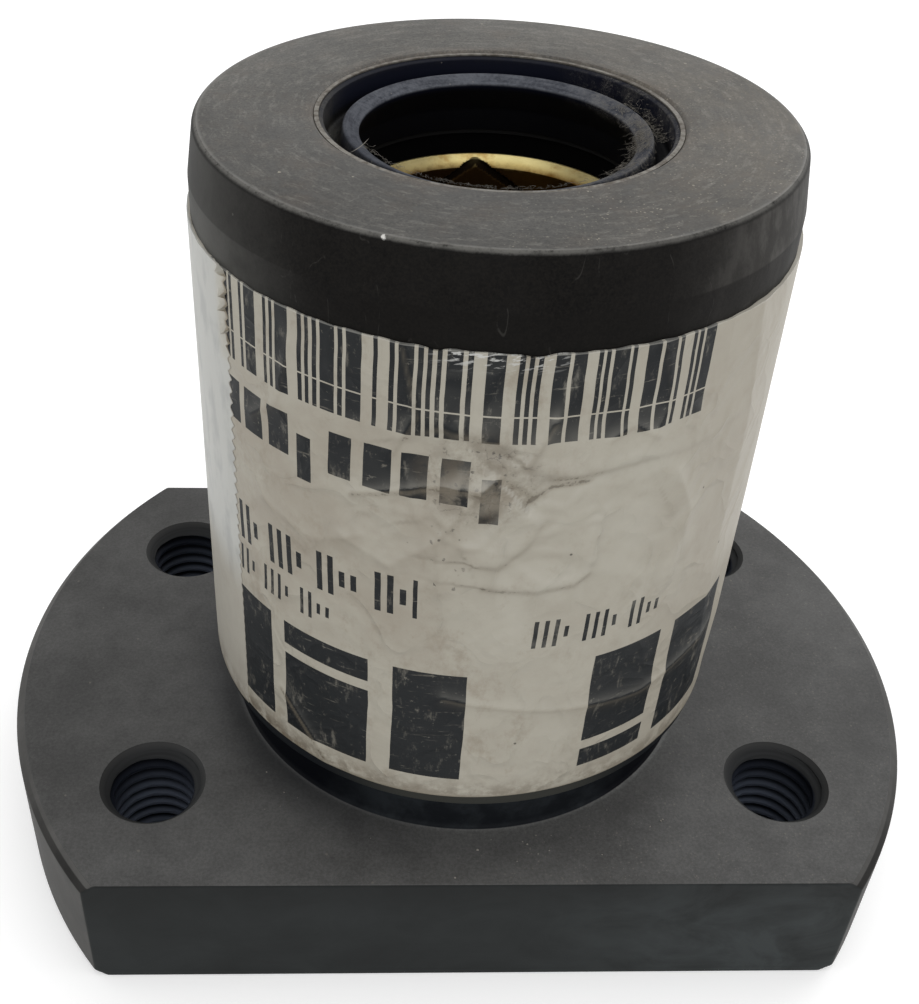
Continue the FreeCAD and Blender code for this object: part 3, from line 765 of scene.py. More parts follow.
def label_paper(s):
    """Aged, handled paper under a clear film: worn print, creases with dirt and painted shade, painted light and
    shade from the sheet's slope, a paler tail.
    """
    f = Finish("label_paper")
    settings = {"attribute_type": "GEOMETRY", "attribute_name": "laid"}
    laid = f.node("ShaderNodeAttribute", settings, None, "Vector")
    arc, height, dirt_and_painted_shading = f.axes(laid)
    sheet = f.join(arc, height)
    cloud = f.noise(sheet, 8.0, 5.0, 0.6)
    fibre = f.noise(sheet, 0.4, 4.0, 0.65)
    blot = f.noise(sheet, 2.0, 5.0, 0.7)

    def oval(at_arc, at_height, half_arc, half_height):
        return ((arc - at_arc) / half_arc) ** 2.0 + ((height - at_height) / half_height) ** 2.0

    tone = f.blend(f.step(cloud, 0.35, 0.75) * 0.7, s.paper, s.aged)
    grime = f.step(f.noise(f.join(arc, height * 0.7, 2.0), 4.2, 5.0, 0.75), 0.5, 0.72)
    grime = grime * (0.4 + 0.6 * f.band(arc, -26.0, 2.0, 8.0))
    fingered = f.band(arc, -24.0, -8.0, 7.0) * f.band(height, 44.0, 60.0, 8.0) * f.step(cloud, 0.3, 0.6)
    ink = label_print(f, arc, height)
    wear = f.step(f.noise(sheet, 0.9, 5.0, 0.75), 0.60, 0.70)
    thin = f.step(f.noise(f.join(arc * 1.6, height * 0.6, 5.0), 2.4, 5.0, 0.75), 0.55, 0.72)
    aslant = f.join(arc * 0.18 + height * 0.05, height * 1.6 - arc * 0.12, 1.0)
    scrape = f.step(f.noise(aslant, 0.6, 4.0, 0.7), 0.62, 0.7)
    rubbed = f.fall(oval(-2.6, 59.4, 3.6, 2.4), 0.2, 1.3)
    wear = wear * 0.4 + scrape * 0.3 + thin * 0.36 + rubbed * f.step(blot, 0.34, 0.6) * 0.7
    wear = f.least(wear, 1.0)
    printed = ink * (1 - wear * 0.8)
    tone = f.coat(
        tone,
        (f.step(blot, 0.5, 0.75) * 0.35, s.aged),
        (grime * 0.55, (0.235, 0.196, 0.145)),
        # Darker handled patch on the left, and painted shade towards the right.
        (fingered * 0.45 + f.step(arc, 8.0, 24.0) * 0.35, (0.29, 0.252, 0.2)),
        (printed, s.ink))

    handled = oval(-2.2, 60.4, 5.2, 4.4)
    smear = f.fall(handled, 0.1, 1.6) * f.step(blot, 0.34, 0.6)
    bent = f.vector("ADD", sheet, f.join(blot * 2.2, fibre * 0.6))
    cracks = f.node("ShaderNodeTexVoronoi", {"feature": "DISTANCE_TO_EDGE"}, {"Vector": bent, "Scale": 0.5},
                    "Distance")
    cracks = f.fall(cracks, 0.004, 0.026) * f.fall(handled, 0.3, 1.5) * f.step(blot, 0.48, 0.6)
    trail = f.fall(oval(-4.8, 52.0, 1.9, 5.0), 0.2, 1.4)
    soot = f.specks(f.vector("ADD", sheet, f.join(blot, fibre)), 0.55, 0.17, 0.4)
    soot = soot * f.most(f.fall(handled, 0.2, 1.2), trail) * f.step(blot, 0.42, 0.52)
    soot = f.most(soot, f.specks(sheet, 2.7, 0.17, 0.14))
    tone = f.coat(
        tone,
        (smear * 0.5, s.glue),
        (cracks * 0.6, (0.06, 0.043, 0.03)),
        (soot * 0.8, (0.035, 0.03, 0.026)))

    strokes = f.noise(f.join(arc * 0.32 + height * 0.2, height * 1.3 - arc * 0.3, 0.0), 0.45, 3.0, 0.6)
    torn = f.band(arc, -4.6, 1.6, 3.0) * f.step(height, 70.2, 71.8) * f.step(strokes, 0.53, 0.60)
    ragged = dirt_and_painted_shading + (fibre - 0.5) * 1.5 + (blot - 0.5) * 1.2
    # Painted light: pale soft patches on the bulges to the right of the middle.
    petals = f.step(f.noise(sheet, 6.0, 2.0, 0.4, 1.2), 0.42, 0.66) * f.band(arc, 2.0, 16.0, 6.0)
    # The crease mark darkens where it is positive, partly crease dirt and partly painted shade, and lightens
    # where it is negative as painted light.
    tone = f.coat(
        tone,
        (torn * 0.9, (0.55, 0.55, 0.53)),
        (f.step(ragged, 0.5, 0.8) * f.step(dirt_and_painted_shading, 0.2, 0.42) * 0.7, (0.075, 0.06, 0.044)),
        (f.step(dirt_and_painted_shading, -0.05, 0.5) * 0.36, (0.185, 0.16, 0.12)),
        (petals * f.band(height, 44.0, 62.0, 6.0) * 0.22, (0.50, 0.482, 0.42)),
        (f.step(-dirt_and_painted_shading, -0.05, 0.5) * 0.5, (0.52, 0.50, 0.445)))

    on_tail = f.step(arc, 112.0, 130.0) * (0.25 + 0.75 * f.step(height + blot * 3.0, 38.0, 45.0))
    ghost = f.step(f.noise(f.join(arc, height * 0.45, 3.0), 2.6, 3.0, 0.6), 0.46, 0.68)
    pale = f.blend(ghost * 0.36, s.tail, (0.24, 0.245, 0.25))
    tail_end = f.step(arc, 141.4, 143.0) * f.step(height + blot * 4.0, 64.5, 67.5)
    teeth = f.step(arc, 141.0, 142.5) * f.step(dirt_and_painted_shading, 0.15, 0.8)
    edge = f.step(height, 71.98, 72.04)
    low = s.bottom / MM + 0.1
    hem = f.fall(height, low, low + 2.9) * f.step(blot, 0.36, 0.6) * (0.5 + 0.35 * f.step(-arc, 4.0, 26.0))
    hem = f.most(hem, f.fall(height + fibre * 0.5, low, low + 0.6) * 0.6)
    tone = f.coat(
        tone,
        (on_tail, pale),
        (tail_end * 0.5, (0.44, 0.405, 0.32)),
        # At the tail's end, darker between the curls of the torn top: partly stain and partly painted shade.
        (tail_end * f.step(dirt_and_painted_shading, 0.1, 0.8) * 0.5, (0.24, 0.2, 0.14)),
        (teeth * 0.45, (0.2, 0.165, 0.115)),
        (edge * 0.3, (0.50, 0.49, 0.45)),
        (hem, s.glue))

    wrinkle = 1 - abs(f.noise(sheet, 6.5, 2.0, 0.5, 0.6) * 2.0 - 1.0)
    wrinkle = wrinkle ** 4.0 * f.band(arc, -22.0, 24.0, 10.0)
    relief = fibre * 0.04 + blot * 0.12 + wrinkle * 0.84
    return f.surface(
        Base_Color=tone, Roughness=0.5 + 0.12 * fibre, Specular_IOR_Level=0.14,
        Coat_Weight=(0.1 + 0.2 * cloud) * (1 - 0.8 * printed), Coat_Roughness=0.25,
        Normal=f.bump(relief, 0.5, 0.6))


def loose_bits(name, tone):
    """Dry fibres or grit, uneven in tone."""
    f = Finish(name)
    place = f.place()
    mixed = f.blend(f.noise(place, 0.8, 2.0), tuple(0.55 * value for value in tone), tone)
    return f.surface(Base_Color=mixed, Roughness=0.8 + 0.1 * f.noise(place, 0.3, 2.0), Specular_IOR_Level=0.2)


# Pieces


def thread_radius(angle, height, s):
    """Internal thread: root flat of P/8, crest flat of P/4 and straight flanks along z = P * angle / turn."""
    pitch = s.pitch / MM
    phase = (height / pitch - angle / FULL_TURN) % 1.0
    rise = np.clip((np.abs(phase - 0.5) - 1 / 16) / (3 / 8 - 1 / 16), 0.0, 1.0)
    return s.thread / MM - s.thread_depth / MM * rise


def smooth_least(first, second, ease):
    """Smaller of two values with the corner between them eased: (a + b - sqrt((a - b)^2 + e^2)) / 2."""
    return (first + second - np.sqrt((first - second) ** 2 + ease ** 2)) / 2


def flange_side(s):
    """Side of the flange: at each angle and height the smaller of chamfered circle and flat."""
    rim, flat, thick = s.flange / MM, s.flat / MM, s.thickness / MM
    corner = math.degrees(math.asin(flat / rim))
    fine = np.concatenate([np.arange(0.0, corner - 0.6, 1.5), np.arange(corner - 0.6, corner + 1.8, 0.15),
                           np.arange(corner + 1.8, 90.0, 2.0)])
    quarter = np.radians(fine)
    angles = np.concatenate([quarter, math.pi - quarter[::-1], math.pi + quarter, FULL_TURN - quarter[::-1]])
    angles = np.unique(np.round(np.concatenate([angles, [math.pi / 2, 1.5 * math.pi]]), 9) % FULL_TURN)
    angles = angles[np.concatenate([[True], np.diff(angles) > 1e-5])]
    edge = np.array([0.0, 0.02, 0.06, 0.12, 0.2, 0.4, 0.7, 0.9, 0.97, 1.03, 1.15])
    heights = np.concatenate([thick - edge, np.linspace(thick - 1.6, 1.6, 5), edge[::-1]])
    from_face = np.minimum(heights, thick - heights)
    chamfer, blur, ease, corner_ease = 1.0, 0.1, 0.2, 0.12
    over = chamfer - from_face
    chamfered = rim - (over + np.sqrt(over ** 2 + blur ** 2)) / 2
    inset = ease - np.sqrt(np.maximum(ease ** 2 - np.maximum(ease - from_face, 0.0) ** 2, 0.0))
    reach = (flat - inset)[None, :] / np.maximum(np.abs(np.sin(angles)), 1e-4)[:, None]
    radius = smooth_least(np.broadcast_to(chamfered, reach.shape), reach, corner_ease)
    return np.stack(np.broadcast_arrays(
        radius * np.cos(angles)[:, None], radius * np.sin(angles)[:, None], heights), axis=-1)


def housing_shell(s):
    """Housing: a turned outline from the flange's upper face round to its underside, the flange's side,
    two level faces between them and four threaded holes."""
    shell = Shell()
    top, thick, barrel = s.height / MM, s.thickness / MM, s.barrel / MM
    seam, bore, seat_depth, rim, edge, lead_in = 26.6, 14.0, 7.2, 26.4, 0.4, 0.3
    outline = soften(
        [(seam, thick), (NECK, thick), (NECK, NECK_TOP), (barrel, NECK_TOP), (barrel, TAPER_START),
         (rim, top - edge), (rim - edge, top), (SEAT + lead_in, top), (SEAT, top - lead_in),
         (SEAT, top - seat_depth), (bore, top - seat_depth), (bore, seat_depth), (SEAT, seat_depth),
         (SEAT, lead_in), (SEAT + lead_in, 0.0), (seam, 0.0)],
        [0, 0.8, 0.8, 0.2, 0.08, 0.14, 0.14, 0.1, 0.1, 0.1, 0.15, 0.15, 0.1, 0.1, 0.1, 0])
    angles = full_circle(288)
    shell.grid(turn(outline, angles), around=True)

    side = flange_side(s)
    shell.grid(side, around=True)

    hole_angles = full_circle(72)
    heights = np.unique(np.concatenate([np.linspace(0.0, thick, 141), [0.2, 0.4, thick - 0.25, thick - 0.5]]))
    around, up = np.meshgrid(hole_angles, heights, indexing="ij")
    radius = np.maximum(thread_radius(around, up, s), np.maximum(HOLE_MOUTH - (thick - up), HOLE_EXIT - up))
    centres = [(s.bolt_circle / MM * math.cos(a), s.bolt_circle / MM * math.sin(a))
               for a in (s.bolt_angle, math.pi - s.bolt_angle, math.pi + s.bolt_angle, -s.bolt_angle)]
    for centre in centres:
        wall = ring(radius, around, centre)
        shell.grid(np.concatenate([wall, up[..., None]], axis=-1), around=True)

    for height, outer, hole in ((thick, side[:, 0, :2], HOLE_MOUTH), (0.0, side[:, -1, :2], HOLE_EXIT)):
        def keep(middles):
            away = [np.hypot(middles[:, 0] - cx, middles[:, 1] - cy) > hole for cx, cy in centres]
            return np.all(away, axis=0) & (np.hypot(middles[:, 0], middles[:, 1]) > seam)

        loops = [outer, ring(seam, angles)] + [ring(hole, hole_angles, centre) for centre in centres]
        flat_patch(shell, loops, height, keep)
    return shell


def bush_shell(s, near, far, azimuth):
    """Bush: bore with two crossed helical grooves, radius = larger of bore, mouth cone and groove circle,
    closed round the outside. The grooves meet in the mouth at the near end, at the given azimuth."""
    bore, outside, mouth = s.bore / MM, s.outside / MM, s.mouth / MM
    long = abs(far - near)
    edge = np.concatenate([np.linspace(0.0, mouth, 9), np.linspace(mouth, long - mouth, 130)[1:-1],
                           np.linspace(long - mouth, long, 9)])
    angles = full_circle(450)
    turned, run = np.meshgrid(angles, edge, indexing="ij")
    cone = bore + np.maximum(mouth - run, mouth - (long - run)).clip(0.0)
    half_turn = (turned - azimuth + math.pi) % FULL_TURN - math.pi
    section = s.groove_section / MM
    middle = bore + s.groove / MM - section
    meeting = 0.45 * mouth
    radius = cone
    for hand in (1.0, -1.0):
        away = (run - meeting - hand * long * half_turn / math.pi + long) % (2 * long) - long
        groove = middle + np.sqrt(np.maximum(section ** 2 - away ** 2, 0.0))
        radius = np.where(np.abs(away) < section, np.maximum(radius, groove), radius)
    chamfer = 0.3
    back = soften([(outside - chamfer, long), (outside, long - chamfer), (outside, chamfer),
                   (outside - chamfer, 0.0)], [0, 0.1, 0.1, 0], 3)
    radius, run = (np.concatenate([inside, np.broadcast_to(outline, (len(angles), len(back)))], axis=1)
                   for inside, outline in zip((radius, run), back.T))
    height = near + (far - near) / long * run
    shell = Shell()
    surface = np.concatenate([ring(radius, angles[:, None]), height[..., None]], axis=-1)
    shell.grid(surface, around=True, along=True)
    return shell


def lip_shell(s, face, inward):
    """Wiper lip: moulded outline of (radius, depth below the face) with eased corners, turned once round."""
    free = s.lip / MM
    outline = soften(
        [(15.6, 0.35), (LINING, 0.55), (LINING, 3.2), (13.9, 3.2), (LIP_CORNER, 1.15), (free, 1.85),
         (free + 0.15, 2.25), (12.8, 3.4), (13.4, 4.6), (13.4, 6.8), (15.6, 6.8)],
        [0.08, 0.1, 0.5, 0.5, 0.34, 0.18, 0.1, 0.3, 0.3, 0.1, 0.1], 7)
    outline = np.stack([outline[:, 0], face + inward * outline[:, 1]], axis=-1)
    shell = Shell()
    shell.grid(turn(outline, full_circle(240)), around=True, along=True)
    return shell


def ramp(value, low, high):
    """Straight rise from 0 at low to 1 at high."""
    return np.clip((value - low) / (high - low), 0.0, 1.0)


def bell(value, middle, width):
    """Bell curve of height 1."""
    return np.exp(-((value - middle) / width) ** 2)


def to_line(arc, height, path):
    """Distance from every point of the sheet to a bent line, and the side of the line that the point is on."""
    best = np.full(arc.shape, 1e9)
    side = np.ones(arc.shape)
    for (a0, h0), (a1, h1) in zip(path[:-1], path[1:]):
        across, up = a1 - a0, h1 - h0
        t = np.clip(((arc - a0) * across + (height - h0) * up) / (across ** 2 + up ** 2), 0.0, 1.0)
        away = np.hypot(arc - a0 - t * across, height - h0 - t * up)
        left = np.sign(across * (height - h0) - up * (arc - a0))
        side = np.where(away < best, left, side)
        best = np.minimum(best, away)
    return best, side


# Bent lines of (arc, height) with their lift, width and dark mark, which is partly dirt and partly painted shade
CREASES = (
    ([(1.4, 58.2), (3.5, 59.8), (6.6, 60.0)], -0.25, 0.5, 0.85),
    ([(-4.0, 35.6), (6.0, 33.8), (16.0, 32.4), (27.0, 34.2)], 0.2, 0.8, 0.3),
    ([(-21.2, 29.3), (-18.2, 26.0), (-15.8, 23.0)], 0.2, 0.7, 0.8),
    ([(-2.3, 59.6), (1.4, 62.4), (3.0, 66.0)], 0.28, 0.8, 0.35),
    ([(-2.3, 59.4), (-5.6, 54.0), (-5.0, 48.4)], 0.35, 1.0, 0.15),
    ([(-0.4, 60.4), (0.6, 59.9), (2.0, 58.7)], -0.2, 0.5, 0.7),
    ([(-13.0, 57.0), (-6.0, 59.4), (-2.3, 59.6)], 0.28, 0.7, 0.6),
    ([(-9.0, 71.8), (-7.6, 66.0), (-9.4, 62.0)], 0.18, 0.7, 0.3),
    ([(7.8, 63.8), (9.6, 64.8), (12.2, 63.2)], 0.2, 0.8, 0.3),
    ([(22.5, 72.4), (24.6, 60.0), (24.0, 44.0), (25.5, 28.0)], 0.25, 1.8, 0.0),
    ([(15.0, 59.0), (17.5, 54.0), (16.5, 47.0)], 0.35, 1.3, 0.0),
    ([(10.5, 61.4), (13.0, 66.0), (11.5, 71.9)], 0.2, 1.0, 0.1),
    ([(-14.0, 52.5), (-9.5, 50.5), (-5.6, 54.0)], 0.25, 1.1, 0.0),
    ([(-24.0, 60.0), (-20.5, 63.0), (-19.0, 69.0)], 0.2, 0.9, 0.1),
    ([(-23.0, 52.0), (-17.0, 50.4), (-12.0, 53.0)], 0.2, 1.0, 0.1),
)
FOLDS = (
    ([(1.3, 62.0), (3.4, 60.7), (7.3, 60.9), (11.0, 61.3), (16.0, 60.8), (23.4, 61.4)], 0.42, 2.4, 0.1),
    ([(-1.8, 51.9), (-0.3, 51.8), (1.8, 53.9), (2.9, 56.3), (1.9, 57.4)], 0.55, 2.8, 0.1),
    ([(-1.3, 49.3), (2.9, 48.9), (6.4, 49.1), (7.7, 50.3), (7.9, 52.2)], 0.55, 2.6, 0.12),
    ([(-9.5, 63.4), (-6.0, 65.0), (-2.7, 64.3)], 0.45, 2.0, 0.1),
    ([(-7.8, 55.7), (-6.1, 56.6), (-4.1, 55.3), (-3.3, 53.2)], 0.45, 1.8, 0.1),
    ([(14.9, 55.3), (17.5, 51.0), (19.0, 46.3)], 0.3, 3.0, 0.1),
)


def label_height(turned, height, arc, s):
    """Rise of the label above a close wrap: slow waves, crumples where cells of random points meet, creases that
    fall off on both sides and folds that drop at their line and fall off slowly on the other side. Returns the
    rise and a signed mark: crease dirt that is partly painted shade, painted shade under an overhang and
    painted light where the sheet leans up."""
    azimuth = turned % 360.0
    from_slack = (azimuth - 352.0 + 180.0) % 360.0 - 180.0
    above = height - s.bottom / MM
    slack = np.clip(1.4 - above / 60.0, 0.4, 1.0) * np.clip(above / 9.0, 0.2, 1.0)
    rise = s.bulge / MM * slack * bell(from_slack, 0.0, 27.0)
    rise = rise + 0.02 * (1.0 + np.sin(azimuth / 17.0 + 1.0) * np.sin(height / 7.0))
    draw = np.random.default_rng(17)
    seeds = draw.uniform((-24.0, 40.0), (26.0, 72.0), (46, 2))
    gaps = np.hypot(arc[..., None] - seeds[:, 0], height[..., None] - seeds[:, 1])
    gaps = np.partition(gaps, 1, axis=-1)[..., :2]
    ridge = bell(gaps[..., 1], gaps[..., 0], 0.9)
    handled = bell(arc, 1.0, 13.0) * bell(height, 57.0, 11.0)
    rise = rise + (0.16 * ridge + 0.08 * np.cos(gaps[..., 0] * 0.9)) * handled
    line = np.zeros_like(arc)
    for path, lift, width, mark in CREASES:
        away, _ = to_line(arc, height, path)
        rise = rise + lift * np.exp(-away / width)
        line = line + mark * bell(away, 0.0, 0.22)
    fading = bell(arc, 3.0, 15.0)
    for path, lift, width, mark in FOLDS:
        away, side = to_line(arc, height, path)
        across = away * side
        rise = rise + lift * fading * np.exp(-away / width) * (0.5 + 0.5 * np.tanh(across / 0.5))
        # The dark mark along each fold's foot is partly dirt and partly painted shade.
        line = line + mark * bell(across, -0.2, 0.4) * np.exp(-away / 1.2)
    rise = np.maximum(rise, 0.0)
    lean = np.gradient(rise, axis=1) / np.gradient(height, axis=1)
    # Painted light and shade: the slope along the height darkens where the sheet faces down and lightens where
    # it leans up.
    return rise, line + np.clip(0.95 * lean, -0.5, 0.5)


def label_shell(s):
    """Label: a strip that starts under its own tail, runs once round and climbs over its start, with a
    serrated end. Radius = barrel + layers + rise outside; inside it lies plainly on what it covers."""
    barrel = BARREL_HIGH.x / MM
    layer = s.layer / MM
    tail_end = 360.0 + math.degrees(s.tail_azimuth)
    start = math.degrees(s.tail_azimuth - s.tail_overlap)
    view_start, view_end, tail_start = 204.0, 338.0, 536.0
    columns = np.concatenate([
        np.arange(start, view_start, 1.5), np.arange(view_start, view_end, 0.55),
        np.arange(view_end, tail_start, 2.0), np.arange(tail_start, tail_end - 9.0, 1.2),
        np.linspace(tail_end - 9.0, tail_end, 36)])
    rows = np.linspace(0.0, 1.0, 211)
    turned, up = np.meshgrid(columns, rows, indexing="ij")
    draw = np.random.default_rng(5)
    teeth, tooth_size = 41.5, 1.3
    tooth = np.abs(rows * teeth % 1.0 - 0.5) * 2.0 * draw.uniform(0.85, 1.15, len(rows)) - 0.5
    tooth = tooth * np.clip(rows * 3.0 - 0.6, 0.15, 1.0) * tooth_size
    near_end = ramp(turned, tail_end - 2.0, tail_end)
    even = turned
    turned = turned + near_end * tooth[None, :]
    arc = np.radians(turned - FRONT_AZIMUTH) * (barrel + 0.2)
    low = s.bottom / MM + 0.1 * np.sin(arc * 0.21) - 0.1
    high = s.top / MM + 0.03 * np.sin(arc * 0.9) + 0.04 * np.sin(arc * 2.3 + 1.0) - 0.07
    high = high - 0.3 * bell(arc, 1.0, 1.2) - 0.2 * bell(arc, -6.5, 0.8)
    height = low + (high - low) * up

    rise, line = label_height(turned, height, arc, s)
    climb = ramp(turned, start + 348.0, start + 360.0)
    climb = climb * climb * (3 - 2 * climb)
    end = ramp(even, tail_end - 3.0, tail_end)
    torn = ramp(height, 64.6, 66.6)
    ruffle = np.sin(height * 3.7 + 1.3 * np.sin(height * 1.9)) + 0.5 * np.sin(height * 9.1)
    curled = np.clip(ruffle, 0.0, 1.2) ** 0.7 * torn
    lift = end ** 1.3 * curled * 0.62 - end * (layer - 0.05)
    # At the tail's end the torn top is marked darker, partly stain and partly painted shade, and its curls
    # lighter as painted light.
    line = line + end ** 2 * (0.6 * torn - 1.2 * np.clip(curled, 0.0, 1.0))
    line = line + 0.8 * ramp(even, tail_end - 0.5, tail_end) * ramp(height, 36.0, 42.0)
    angle = np.radians(turned)
    outer = barrel + layer * (1 + climb) + rise + lift
    inner = barrel + 0.01 + layer * climb

    def shape(radius, pick, rung):
        plan = ring(radius[pick, rung], angle[pick, rung])
        return np.concatenate([plan, height[pick, rung][..., None]], axis=-1)

    count, wide, tail = len(rows), len(columns), 4
    plain = wide - tail
    every, hems = slice(None), [0, -1]
    shell = Shell()
    shell.grid(shape(outer, every, every))
    front = np.arange(wide * count).reshape(wide, count)
    back = (np.arange(plain * 2) + wide * count).reshape(plain, 2)
    deep = (np.arange(tail * count) + wide * count + plain * 2).reshape(tail, count)
    strips = [(front[:plain, 0], back[:, 0]), (front[:plain, -1], back[:, 1]), (back[:, 0], back[:, 1]),
              (front[plain:, 0], deep[:, 0]), (front[plain:, -1], deep[:, -1]), (front[-1], deep[-1])]
    quads = [np.stack([one[:-1], one[1:], two[1:], two[:-1]], axis=-1) for one, two in strips]
    quads.append(grid_quads(tail, count) + deep[0, 0])
    quads.append(np.array([[front[plain - 1, side], front[plain, side], deep[0, side], back[-1, side]]
                           for side in hems]))
    shell.add(np.concatenate([shape(inner, slice(0, plain), hems).reshape(-1, 3),
                              shape(inner, slice(plain, wide), every).reshape(-1, 3)]),
              np.concatenate(quads) - wide * count)
    for rungs, foot, head in ((front[0], back[0, 0], back[0, 1]), (deep[0], back[-1, 0], back[-1, 1])):
        fan = np.stack([rungs[:-1], rungs[1:], np.full(count - 1, foot)], axis=-1).tolist()
        fan.append([rungs[-1], head, foot])
        shell.faces += fan
        shell.smooth += [False] * len(fan)
    laid = np.stack([arc, height, line], axis=-1)
    hidden = np.concatenate([laid[:plain, hems].reshape(-1, 3) * (1.0, 1.0, 0.0), laid[plain:].reshape(-1, 3)])
    return shell, np.concatenate([laid.reshape(-1, 3), hidden])


def fibre_paths(s):
    """Paths of the fibres in tufts: a tuft sits at a random place of its group's arc, and each of its fibres
    starts near there and curls at random, over the lip's bevel, in its channel or up from its edge. The last
    path is a single hair that lies across the channel."""
    draw = np.random.default_rng(29)
    groups = (  # share, azimuth middle and spread, least and greatest radius, tufts, length, lift, curl
        (0.22, 348.0, 15.0, 11.85, 12.4, 22, 1.2, 0.2, 0.55),
        (0.32, 354.0, 20.0, 12.3, 13.9, 30, 1.6, 0.08, 0.6),
        (0.30, 256.0, 34.0, 12.05, 12.5, 60, 0.9, 0.35, 0.2),
        (0.10, 4.0, 24.0, 13.8, 15.1, 14, 1.2, 0.1, 0.6))
    stations = 12
    paths = []
    for part, middle, spread, least, most, tufts, long, lift, wind in groups:
        count = max(int(s.fibres * part), 1)
        tuft = draw.integers(0, tufts, count)
        azimuth = np.radians(draw.normal(middle, spread, tufts)[tuft] + draw.normal(0.0, 2.5, count))
        radius = draw.uniform(least, most, tufts)[tuft] + draw.normal(0.0, 0.12, count)
        stride = (long * draw.uniform(0.3, 1.5, count) / stations)[:, None]
        heading = draw.uniform(0.0, FULL_TURN, (count, 1))
        curl = draw.normal(0.0, wind, (count, 1)) + draw.normal(0.0, 0.6 * wind, (count, stations))
        bend = heading + curl.cumsum(axis=1)
        x = (radius * np.cos(azimuth))[:, None] + (np.cos(bend) * stride).cumsum(axis=1)
        y = (radius * np.sin(azimuth))[:, None] + (np.sin(bend) * stride).cumsum(axis=1)
        along = np.linspace(0.0, 1.0, stations)[None]
        out = np.hypot(x, y)
        surface = np.interp(out, [11.4, 12.05, 13.4, 13.8, 15.0], [-2.1, -1.75, -1.1, -1.5, -1.0])
        bow = np.sin(along * draw.uniform(1.5, 4.0, (count, 1)) + draw.uniform(0, 1, (count, 1)))
        z = TOP + surface + 0.03 + lift * np.abs(bow) * draw.uniform(0.2, 1.0, (count, 1))
        paths.append(np.stack([x, y, np.minimum(z, TOP - 0.1)], axis=-1))
    t = np.linspace(0.0, 1.0, stations)[:, None]
    hair = np.array([-12.95, -8.75, 79.72]) * (1 - t) + np.array([-11.28, -4.91, 79.5]) * t
    hair = hair + np.array([0.15, 0.1, -0.1]) * np.sin(t * math.pi)
    return np.concatenate(paths + [hair[None]])


def crumb_shell(s, housing):
    """Crumbs: one rough eight-sided lump copied with random sizes and turns onto the flange round the neck."""
    draw = np.random.default_rng(31)
    count = s.crumbs
    lump = np.array([(1, 0, 0), (0, 1, 0), (-1, 0, 0), (0, -1, 0), (0, 0, 1), (0, 0, -1)], float)
    faces = np.array([(0, 1, 4), (1, 2, 4), (2, 3, 4), (3, 0, 4), (1, 0, 5), (2, 1, 5), (3, 2, 5), (0, 3, 5)])
    size = s.crumb / MM * draw.uniform(0.3, 1.0, (count, 1, 1)) ** 1.5
    shape = lump[None] * size * draw.uniform(0.6, 1.3, (count, 6, 3))
    spin = draw.uniform(0, FULL_TURN, count)[:, None]
    in_front = draw.random(count) < 0.6
    azimuth = np.where(in_front, draw.normal(4.75, 0.45, count), draw.uniform(0, FULL_TURN, count))
    away = 26.2 + draw.gamma(1.2, 1.5, count).clip(0.0, 5.0)
    x = shape[..., 0] * np.cos(spin) - shape[..., 1] * np.sin(spin) + (away * np.cos(azimuth))[:, None]
    y = shape[..., 0] * np.sin(spin) + shape[..., 1] * np.cos(spin) + (away * np.sin(azimuth))[:, None]
    z = shape[..., 2] * 0.7
    z = z - z.min(axis=1, keepdims=True) * 0.8 + housing.thickness / MM
    shell = Shell()
    shell.add(np.stack([x, y, z], axis=-1), (faces[None] + 6 * np.arange(count)[:, None, None]).reshape(-1, 3),
              smooth=False)
    return shell


# Operators, one for each piece or group of like pieces


class GUIDE_OT_housing(bpy.types.Operator):
    """Make the blackened housing with its threaded holes."""
    bl_idname = "guide.housing"
    bl_label = "Housing"

    def execute(self, context):
        s = context.scene.guide_housing
        make_piece("housing_body", housing_shell(s), black_steel(s), ("flange", "barrel"))
        return {"FINISHED"}


class GUIDE_OT_bushes(bpy.types.Operator):
    """Make both bronze bushes with their crossed oil grooves."""
    bl_idname = "guide.bushes"
    bl_label = "Bushes"

    def execute(self, context):
        s = context.scene.guide_bushes
        bronze = turned_bronze(s)
        for node, azimuth in (("upper_bush", math.radians(92.0)), ("lower_bush", 0.0)):
            low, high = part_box(node)
            near, far = (high.z, low.z) if node == "upper_bush" else (low.z, high.z)
            shell = bush_shell(s, near / MM, far / MM, azimuth)
            make_piece(node + "_bronze", shell, bronze, (node,), 30.0)
        return {"FINISHED"}


class GUIDE_OT_wipers(bpy.types.Operator):
    """Make the rubber lips of both wipers and finish their steel cases."""
    bl_idname = "guide.wipers"
    bl_label = "Wipers"

    def execute(self, context):
        s = context.scene.guide_wipers
        rubber = wiper_rubber(s)
        steel = case_steel(s)
        for end, face, inward in (("upper", TOP, -1.0), ("lower", 0.0, 1.0)):
            shell = lip_shell(s, face, inward)
            make_piece(f"{end}_lip_rubber", shell, rubber, (f"{end}_wiper_lip",))
            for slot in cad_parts[f"{end}_wiper_case"].material_slots:
                slot.material = steel
        return {"FINISHED"}


class GUIDE_OT_label(bpy.types.Operator):
    """Make the wrapped paper label with its creases and serrated tail."""
    bl_idname = "guide.label"
    bl_label = "Label"

    def execute(self, context):
        s = context.scene.guide_label
        shell, laid = label_shell(s)
        piece = make_piece("label_wrap", shell, label_paper(s), ("label",), 60.0)
        if len(piece.data.vertices) != len(laid):
            raise RuntimeError("the label's points were merged, so its print has no place")
        attribute = piece.data.attributes.new("laid", "FLOAT_VECTOR", "POINT")
        attribute.data.foreach_set("vector", laid.ravel())
        return {"FINISHED"}


